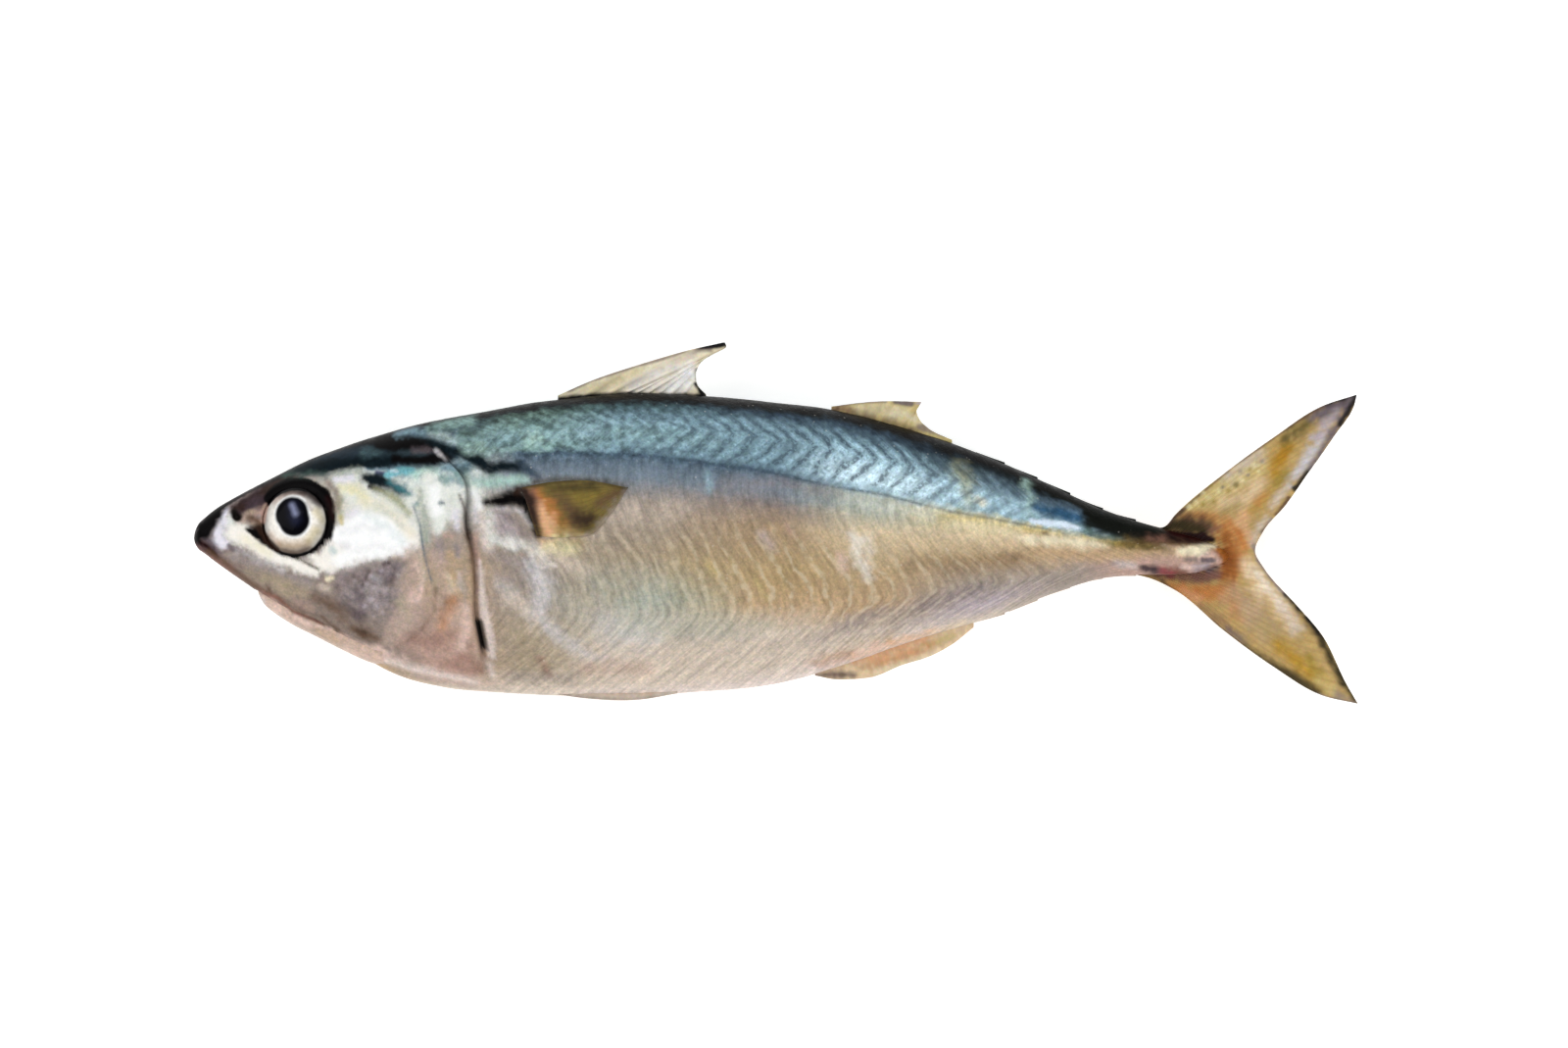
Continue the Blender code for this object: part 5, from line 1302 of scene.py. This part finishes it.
def buildFins(finish):
    sunk = 1.8  # mm of a fin's foot in the flesh
    for form, lineAt, depth in (
            (spinyDorsal, backAt, -sunk), (softDorsal, backAt, -sunk), (analFin, bellyAt, sunk)):
        root = sunkBase(form["base"], lineAt, depth)
        edge = outerEdge(form["lead"], form["trail"], form["leadShare"])
        piece = finPiece(form["name"], form, root, edge, hanging(form["sag"], 0.12))
        finishPiece(piece, finish, "fish")

    edge, root = smoothPath(tailFin["edge"]), smoothPath(tailFin["root"])
    upper, lower = smoothPath(tailFin["upperLead"]), smoothPath(tailFin["lowerLead"])

    def bend(share, out):
        # The outermost rays follow the curved leading edges, and the middle ones are straight
        above = (share < 0.5)[:, None]
        lead = np.where(above, upper(out), lower(out))
        ends = np.where(above, root(0.0), root(1.0))
        tips = np.where(above, edge(0.0), edge(1.0))
        return (lead - ends - (tips - ends) * out[:, None]) * ((np.abs(share - 0.5) * 2) ** 2)[:, None]

    def tailAside(station, level, across, out):
        return 0.25 * np.sin(across * 19) * out + 0.15 * np.sin(across * 41 + 1) * out

    piece = finPiece("tailFin", tailFin, root, edge, tailAside, bend)
    finishPiece(piece, finish, "fish")


finlets = {
    "count": 5, "first": 148.0, "pitch": 6.2, "length": 5.4, "sunk": 1.8,
    "back": {"height": 0.32, "colour": "blackGreen"}, "belly": {"height": -0.2, "colour": "sand"},
    "form": {"columns": 16, "rows": 10, "rays": 4, "thickness": 1.2, "membrane": 0.6, "marks": ()},
}


def buildFinlets(finish):
    for row, lineAt, depth in (("back", backAt, -finlets["sunk"]), ("belly", bellyAt, finlets["sunk"])):
        form = {**finlets["form"], **finlets[row]}
        for number in range(finlets["count"]):
            start = finlets["first"] + finlets["pitch"] * number

            def edge(share):
                along = start + finlets["length"] * share
                return np.stack([along, lineAt(along) + form["height"] * share ** 1.5], axis=-1)

            root = sunkBase((start, start + finlets["length"]), lineAt, depth)
            piece = finPiece(f"finlet{row.capitalize()}{number + 1}", form, root, edge, hanging(0.0))
            finishPiece(piece, finish, "fish")


pelvic = {
    "top": ((65.5, -27.2), (74.0, -27.4), (83.0, -27.6), (91.5, -28.9)),
    "bottom": ((65.5, -28.9), (74.0, -30.2), (84.0, -30.5), (91.5, -29.3)),
    "aside": 1.6, "columns": 70, "rows": 16, "rays": 5, "thickness": 0.9, "membrane": 0.55,
    "colour": "sand",
    "marks": (
        ("peach", 6, 0.35, (576, 700, 2), (620, 703, 3), (670, 703, 3)),
        # a thin darker line along the lower edge: painted shade where it turns under
        ("greyFawn", 3, 0.7, (552, 705, 1), (600, 711, 1.2), (640, 713, 1.2), (680, 709, 1)),
    ),
}

pectoral = {
    "top": ((62.2, 9.6), (67.5, 10.6), (74.5, 10.9), (82.3, 9.6)),
    "lower": ((65.1, 0.4), (71.0, 0.2), (75.6, 0.9), (79.0, 4.6), (82.3, 9.6)),
    "lift": (0.15, 0.5), "sink": 1.6, "floor": 0.25, "rays": 12, "columns": 100, "rows": 80,
    "colour": "olive",
    "marks": (
        ("umber", 9, 0.6, (570, 506, 6), (584, 520, 7), (590, 536, 6)),
        ("orange", 10, 0.75, (548, 506, 6), (560, 518, 9), (569, 534, 7)),
        ("redBrown", 6, 0.9, (540, 502, 6), (547, 518, 6), (552, 532, 4)),
        ("peach", 8, 1, (553, 520, 4), (559, 531, 8), (563, 543, 7)),
        ("peach", 5, 0.9, (556, 528, 4), (561, 540, 5)),
        # painted shade along the blade's root edge, next to the pit behind it
        ("darkBrown", 4, 1, (536, 501, 5), (542, 514, 5.5), (547, 530, 4.5), (551, 546, 3)),
        ("ochre", 6, 0.7, (570, 540, 5), (584, 545, 4), (596, 545, 3)),
        ("oliveGold", 9, 0.45, (588, 508, 4), (604, 506, 5), (618, 503, 3)),
        ("umber", 9, 0.5, (580, 512, 4), (584, 524, 4)),
        # painted shade along the blade's top edge
        ("darkOlive", 6, 0.8, (566, 498, 3), (590, 496, 3), (612, 497, 2.4)),
        ("darkBrown", 7, 0.9, (590, 526, 5), (600, 533, 7), (606, 526, 4)),
        ("umber", 6, 0.8, (612, 512, 3), (624, 505, 4), (636, 500, 3)),
        # a thin line of painted shade on the blade's top edge
        ("darkOlive", 3, 0.7, (538, 496, 1.6), (580, 490, 1.6), (620, 493, 1.4), (640, 498, 1.2)),
        ("lemon", 6, 0.9, (562, 550, 3.4), (576, 550, 3)),
        ("greyFawn", 6, 0.8, (584, 549, 2), (596, 549, 2)),
        ("greyFawn", 8, 0.95, (606, 546, 3), (620, 533, 4), (632, 517, 4), (645, 500, 5)),
    ),
}


def buildPairedFins(finish):
    top, lower = smoothPath(pelvic["top"]), smoothPath(pelvic["bottom"])
    for side, name in ((1, "Left"), (-1, "Right")):
        piece = finPiece(f"pelvicFin{name}", pelvic, top, lower, hanging(0.0, stand=side * pelvic["aside"]))
        finishPiece(piece, finish, "fish")
    # A pectoral is a pointed fan that lies on the flank with its inner face sunk in it
    top, lower = smoothPath(pectoral["top"]), smoothPath(pectoral["lower"])
    (start, _), (end, _) = pectoral["top"][0], pectoral["top"][-1]
    for side, name in ((1, "Left"), (-1, "Right")):
        piece, along, across = pieceFromGrid(f"pectoralFin{name}", pectoral["columns"], pectoral["rows"])
        flat = top(along) + (lower(along) - top(along)) * across[:, None]
        station, level = flat[:, 0], flat[:, 1]
        reach = np.clip((station - start) / (end - start), 0, 1)
        lift = pectoral["lift"][0] + (pectoral["lift"][1] - pectoral["lift"][0]) * reach
        # rays fan out from the base, and the blade thins towards its rim
        ridge = rayProfile(across, pectoral["rays"], 2.0)
        rim = np.minimum(np.minimum(across, 1 - across) * 12, (1 - along) * 25)
        stand = lift * (0.86 + 0.14 * ridge) * (0.55 + 0.45 * smoothStep(rim))
        upper, inner = [
            place(station, level, side * (flankAside(station, level) + height))
            for height in (stand, -pectoral["sink"])]
        for face in (upper, inner):
            face[:, 2] = np.maximum(face[:, 2], pectoral["floor"] * 0.001)
        paintFin(piece, pectoral, station, level, 31, across, along)
        setCoords(piece.data, upper)
        # close the blade: the sheet's rim is extruded down to the inner face
        bm = bmesh.new()
        bm.from_mesh(piece.data)
        inward = {
            tuple(round(c, 7) for c in upper[vertex.index]): inner[vertex.index]
            for vertex in bm.verts if vertex.is_boundary}
        walls = bmesh.ops.extrude_edge_only(bm, edges=[edge for edge in bm.edges if edge.is_boundary])
        for vertex in walls["geom"]:
            if isinstance(vertex, bmesh.types.BMVert):
                vertex.co = inward.get(tuple(round(c, 7) for c in vertex.co), vertex.co)
        bmesh.ops.recalc_face_normals(bm, faces=bm.faces)
        bm.to_mesh(piece.data)
        bm.free()
        finishPiece(piece, finish, "fish")


jaw = {
    "start": 11.9, "end": 38.0, "depth": 5.4, "tipRadius": 2.0, "rings": 70, "segments": 96,
    "line": (
        (11.9, -11.3), (14.5, -13.5), (18.9, -16.4), (23.5, -18.7), (28.2, -21.1), (32.8, -23.2),
        (38, -24.6)),
    "halfWidth": ((11.9, 1.6), (14.5, 2.9), (18.9, 4.4), (23.5, 5.2), (28.2, 5.6), (32.8, 5.6), (38, 5.0)),
    "colour": "jawPink",
}


def buildJaw(finish):
    piece, ball, ring = ballPiece("lowerJaw", jaw["segments"], jaw["rings"] - 1)
    angle = np.arctan2(ball[:, 1], ball[:, 0])
    station = np.linspace(jaw["start"], jaw["end"], jaw["rings"])[ring]
    closing = np.sqrt(1 - (1 - np.clip((station - jaw["start"]) / jaw["tipRadius"], 0, 1)) ** 2)
    closing = closing * np.sqrt(np.clip((jaw["end"] - station) / jaw["tipRadius"], 0, 1))
    level = smoothLine(jaw["line"])(station) + jaw["depth"] / 2 * (1 + np.cos(angle) * closing)
    aside = smoothLine(jaw["halfWidth"])(station) * np.sin(angle) * closing
    setCoords(piece.data, place(station, level, aside))
    turnOutwards(piece.data)
    grain = raggedness(np.stack([station, level, aside], axis=-1), 1.4, 41)
    colours = evenCoat(jaw["colour"], station)
    setPaint(piece.data, paintMarks(colours, station, level, grain, jawMarks))
    for name, value in (("muscle", 0), ("backFold", 0), ("sideFold", 0), ("scaly", 0), ("mottled", 0.3)):
        setNumbers(piece.data, name, 0 * station + value)
    finishPiece(piece, finish, "fish")


def wetEye():
    # Eye: a clear wet cornea over ivory iris and near black pupil, so it has a thin hard gloss
    finish, tree, shader, paint, spot = paintedFinish("wetEye")
    cloud = addNode(tree, "TexNoise", {"Vector": spot, "Scale": 1 / pattern["iris"], "Detail": 3.0})
    tone = addNode(tree, "MapRange", (cloud, 0.3, 0.7, 0.88, 1.1))
    toned = addNode(tree, "VectorMath", {0: paint, "Scale": tone}, operation="SCALE")
    tree.links.new(toned.outputs[0], shader.inputs["Base Color"])
    for name, value in (
            ("Roughness", 0.3), ("Specular IOR Level", 0.03), ("Coat Weight", 0.1),
            ("Coat Roughness", 0.05), ("Coat IOR", 1.34)):
        shader.inputs[name].default_value = value
    return finish


def unit(direction):
    return direction / np.linalg.norm(direction)


def buildEyes(finish):
    for side, name, node in ((1, "Left", "eye_left"), (-1, "Right", "eye_right")):
        station = eye["station"] + np.array([0, 1, 0])
        level = eye["level"] + np.array([0, 0, 1])
        here, behind, above = place(station, level, side * flankAside(station, level))
        # the lens's own axes: tailwards and upwards along the skin, and outwards
        outward = unit(np.cross(behind - here, above - here) * side)
        tailwards = unit(np.array([1.0, 0, 0]) - outward * outward[0])
        upwards = unit(np.cross(outward, tailwards) * side)
        piece, ball, _ = ballPiece(f"eye{name}", eye["segments"], eye["rings"])
        across, up, out = (ball * (eye["radius"], eye["radius"], eye["halfDepth"])).T
        lens = across[:, None] * tailwards + up[:, None] * upwards + (out - eye["sunk"])[:, None] * outward
        setCoords(piece.data, here + lens * 0.001)
        grain = latticeNoise(np.stack([across, up, 0 * up], axis=-1), 0.9, 51)
        spot = (eye["station"] + across, eye["level"] + up, 0.3 * grain)
        colours = paintMarks(evenCoat(eye["colour"], up), *spot, eye["marks"])
        # the iris is darker towards its rim
        away = np.hypot(across, up)
        colours = colours * (1 - 0.4 * smoothStep((away - eye["shadeRadius"]) / 1.9))[:, None]
        rim = smoothStep((away + 0.08 * grain - eye["irisRadius"]) / 0.4)
        colours = blend(colours, paintColour("ink"), rim)
        setPaint(piece.data, paintMarks(colours, *spot, eyeFrontMarks))
        turnOutwards(piece.data)
        finishPiece(piece, finish, node)


studio = {
    # a long lens from far off, as flat as the photograph: mm, and the camera's height in metres
    "frameWidth": 296.5, "centre": (1.48, -0.19), "outlineHeight": 13.0, "sensor": 36,
    "cameraHeight": 4.0,
    "horizon": 0.78, "zenith": 0.3, "lamp": 3.9, "lampSize": 0.8, "lampPlace": (0.95, 0.9), "glow": 0.45,
    "lampTurns": (30, 120, 210, 300), "floorSize": 3.0, "floorGap": 0.0002,
}


def setStudio():
    bm = bmesh.new()
    bmesh.ops.create_grid(bm, x_segments=1, y_segments=1, size=studio["floorSize"])
    floor = newPiece("floor", bm)
    floor.location.z = -studio["floorGap"]
    # a pale table, lit from below a little, so the shadow nearly goes
    finish, tree, shader = newFinish("paleLightTable")
    coords = addNode(tree, "TexCoord")
    cloud = addNode(tree, "TexNoise", {"Vector": coords.outputs["Object"], "Scale": 2.0})
    tone = addNode(tree, "Mix", {
        0: cloud, 6: (*hexColour("#F8F8F7"), 1), 7: (*hexColour("#FCFCFB"), 1)}, data_type="RGBA")
    for name in ("Base Color", "Emission Color"):
        tree.links.new(tone.outputs[2], shader.inputs[name])
    for name, value in (
            ("Emission Strength", studio["glow"]), ("Roughness", 0.9), ("Specular IOR Level", 0.0)):
        shader.inputs[name].default_value = value
    floor.data.materials.append(finish)

    # the room is dimmer overhead, so a wet black back stays black from above
    world = bpy.data.worlds.new("softRoom")
    world.use_nodes = True
    tree = world.node_tree
    way = addNode(tree, "TexCoord")
    height = addNode(tree, "SeparateXYZ", (way,)).outputs["Z"]
    bright = addNode(tree, "MapRange", (height, 0.35, 0.85, studio["horizon"], studio["zenith"]))
    tree.links.new(bright.outputs[0], tree.nodes["Background"].inputs["Strength"])
    tree.nodes["Background"].inputs["Color"].default_value = (1, 1, 1, 1)
    bpy.context.scene.world = world
    for number, turn in enumerate(studio["lampTurns"]):
        lamp = bpy.data.lights.new(f"softbox{number + 1}", "AREA")
        lamp.energy = studio["lamp"]
        lamp.size = studio["lampSize"]
        holder = bpy.data.objects.new(lamp.name, lamp)
        bpy.context.scene.collection.objects.link(holder)
        turned = math.radians(turn)
        away, height = studio["lampPlace"]
        holder.location = (away * math.sin(turned), away * math.cos(turned), height)
        holder.rotation_euler = (-holder.location).to_track_quat("-Z", "Y").to_euler()

    data = bpy.data.cameras.new("camera")
    camera = bpy.data.objects.new("camera", data)
    bpy.context.scene.collection.objects.link(camera)
    camera.location = (studio["centre"][0] * 0.001, studio["centre"][1] * 0.001, studio["cameraHeight"])
    data.sensor_width = studio["sensor"]
    away = studio["cameraHeight"] * 1000 - studio["outlineHeight"]
    data.lens = studio["sensor"] * away / studio["frameWidth"]
    data.clip_end = 20
    bpy.context.scene.camera = camera
    bpy.context.scene.view_settings.view_transform = "Standard"


setStudio()
print("studio set")
skinFinish, finFinish, eyeFinish = wetSkin(), wetFin(), wetEye()
body, *places = skinMesh()
paintSkin(body, *places)
finishPiece(body, skinFinish, "fish")
print("skin painted:", len(body.data.polygons), "faces")
buildJaw(skinFinish)
buildFins(finFinish)
buildFinlets(finFinish)
buildPairedFins(finFinish)
print("fins made")
buildEyes(eyeFinish)
print("eyes set")
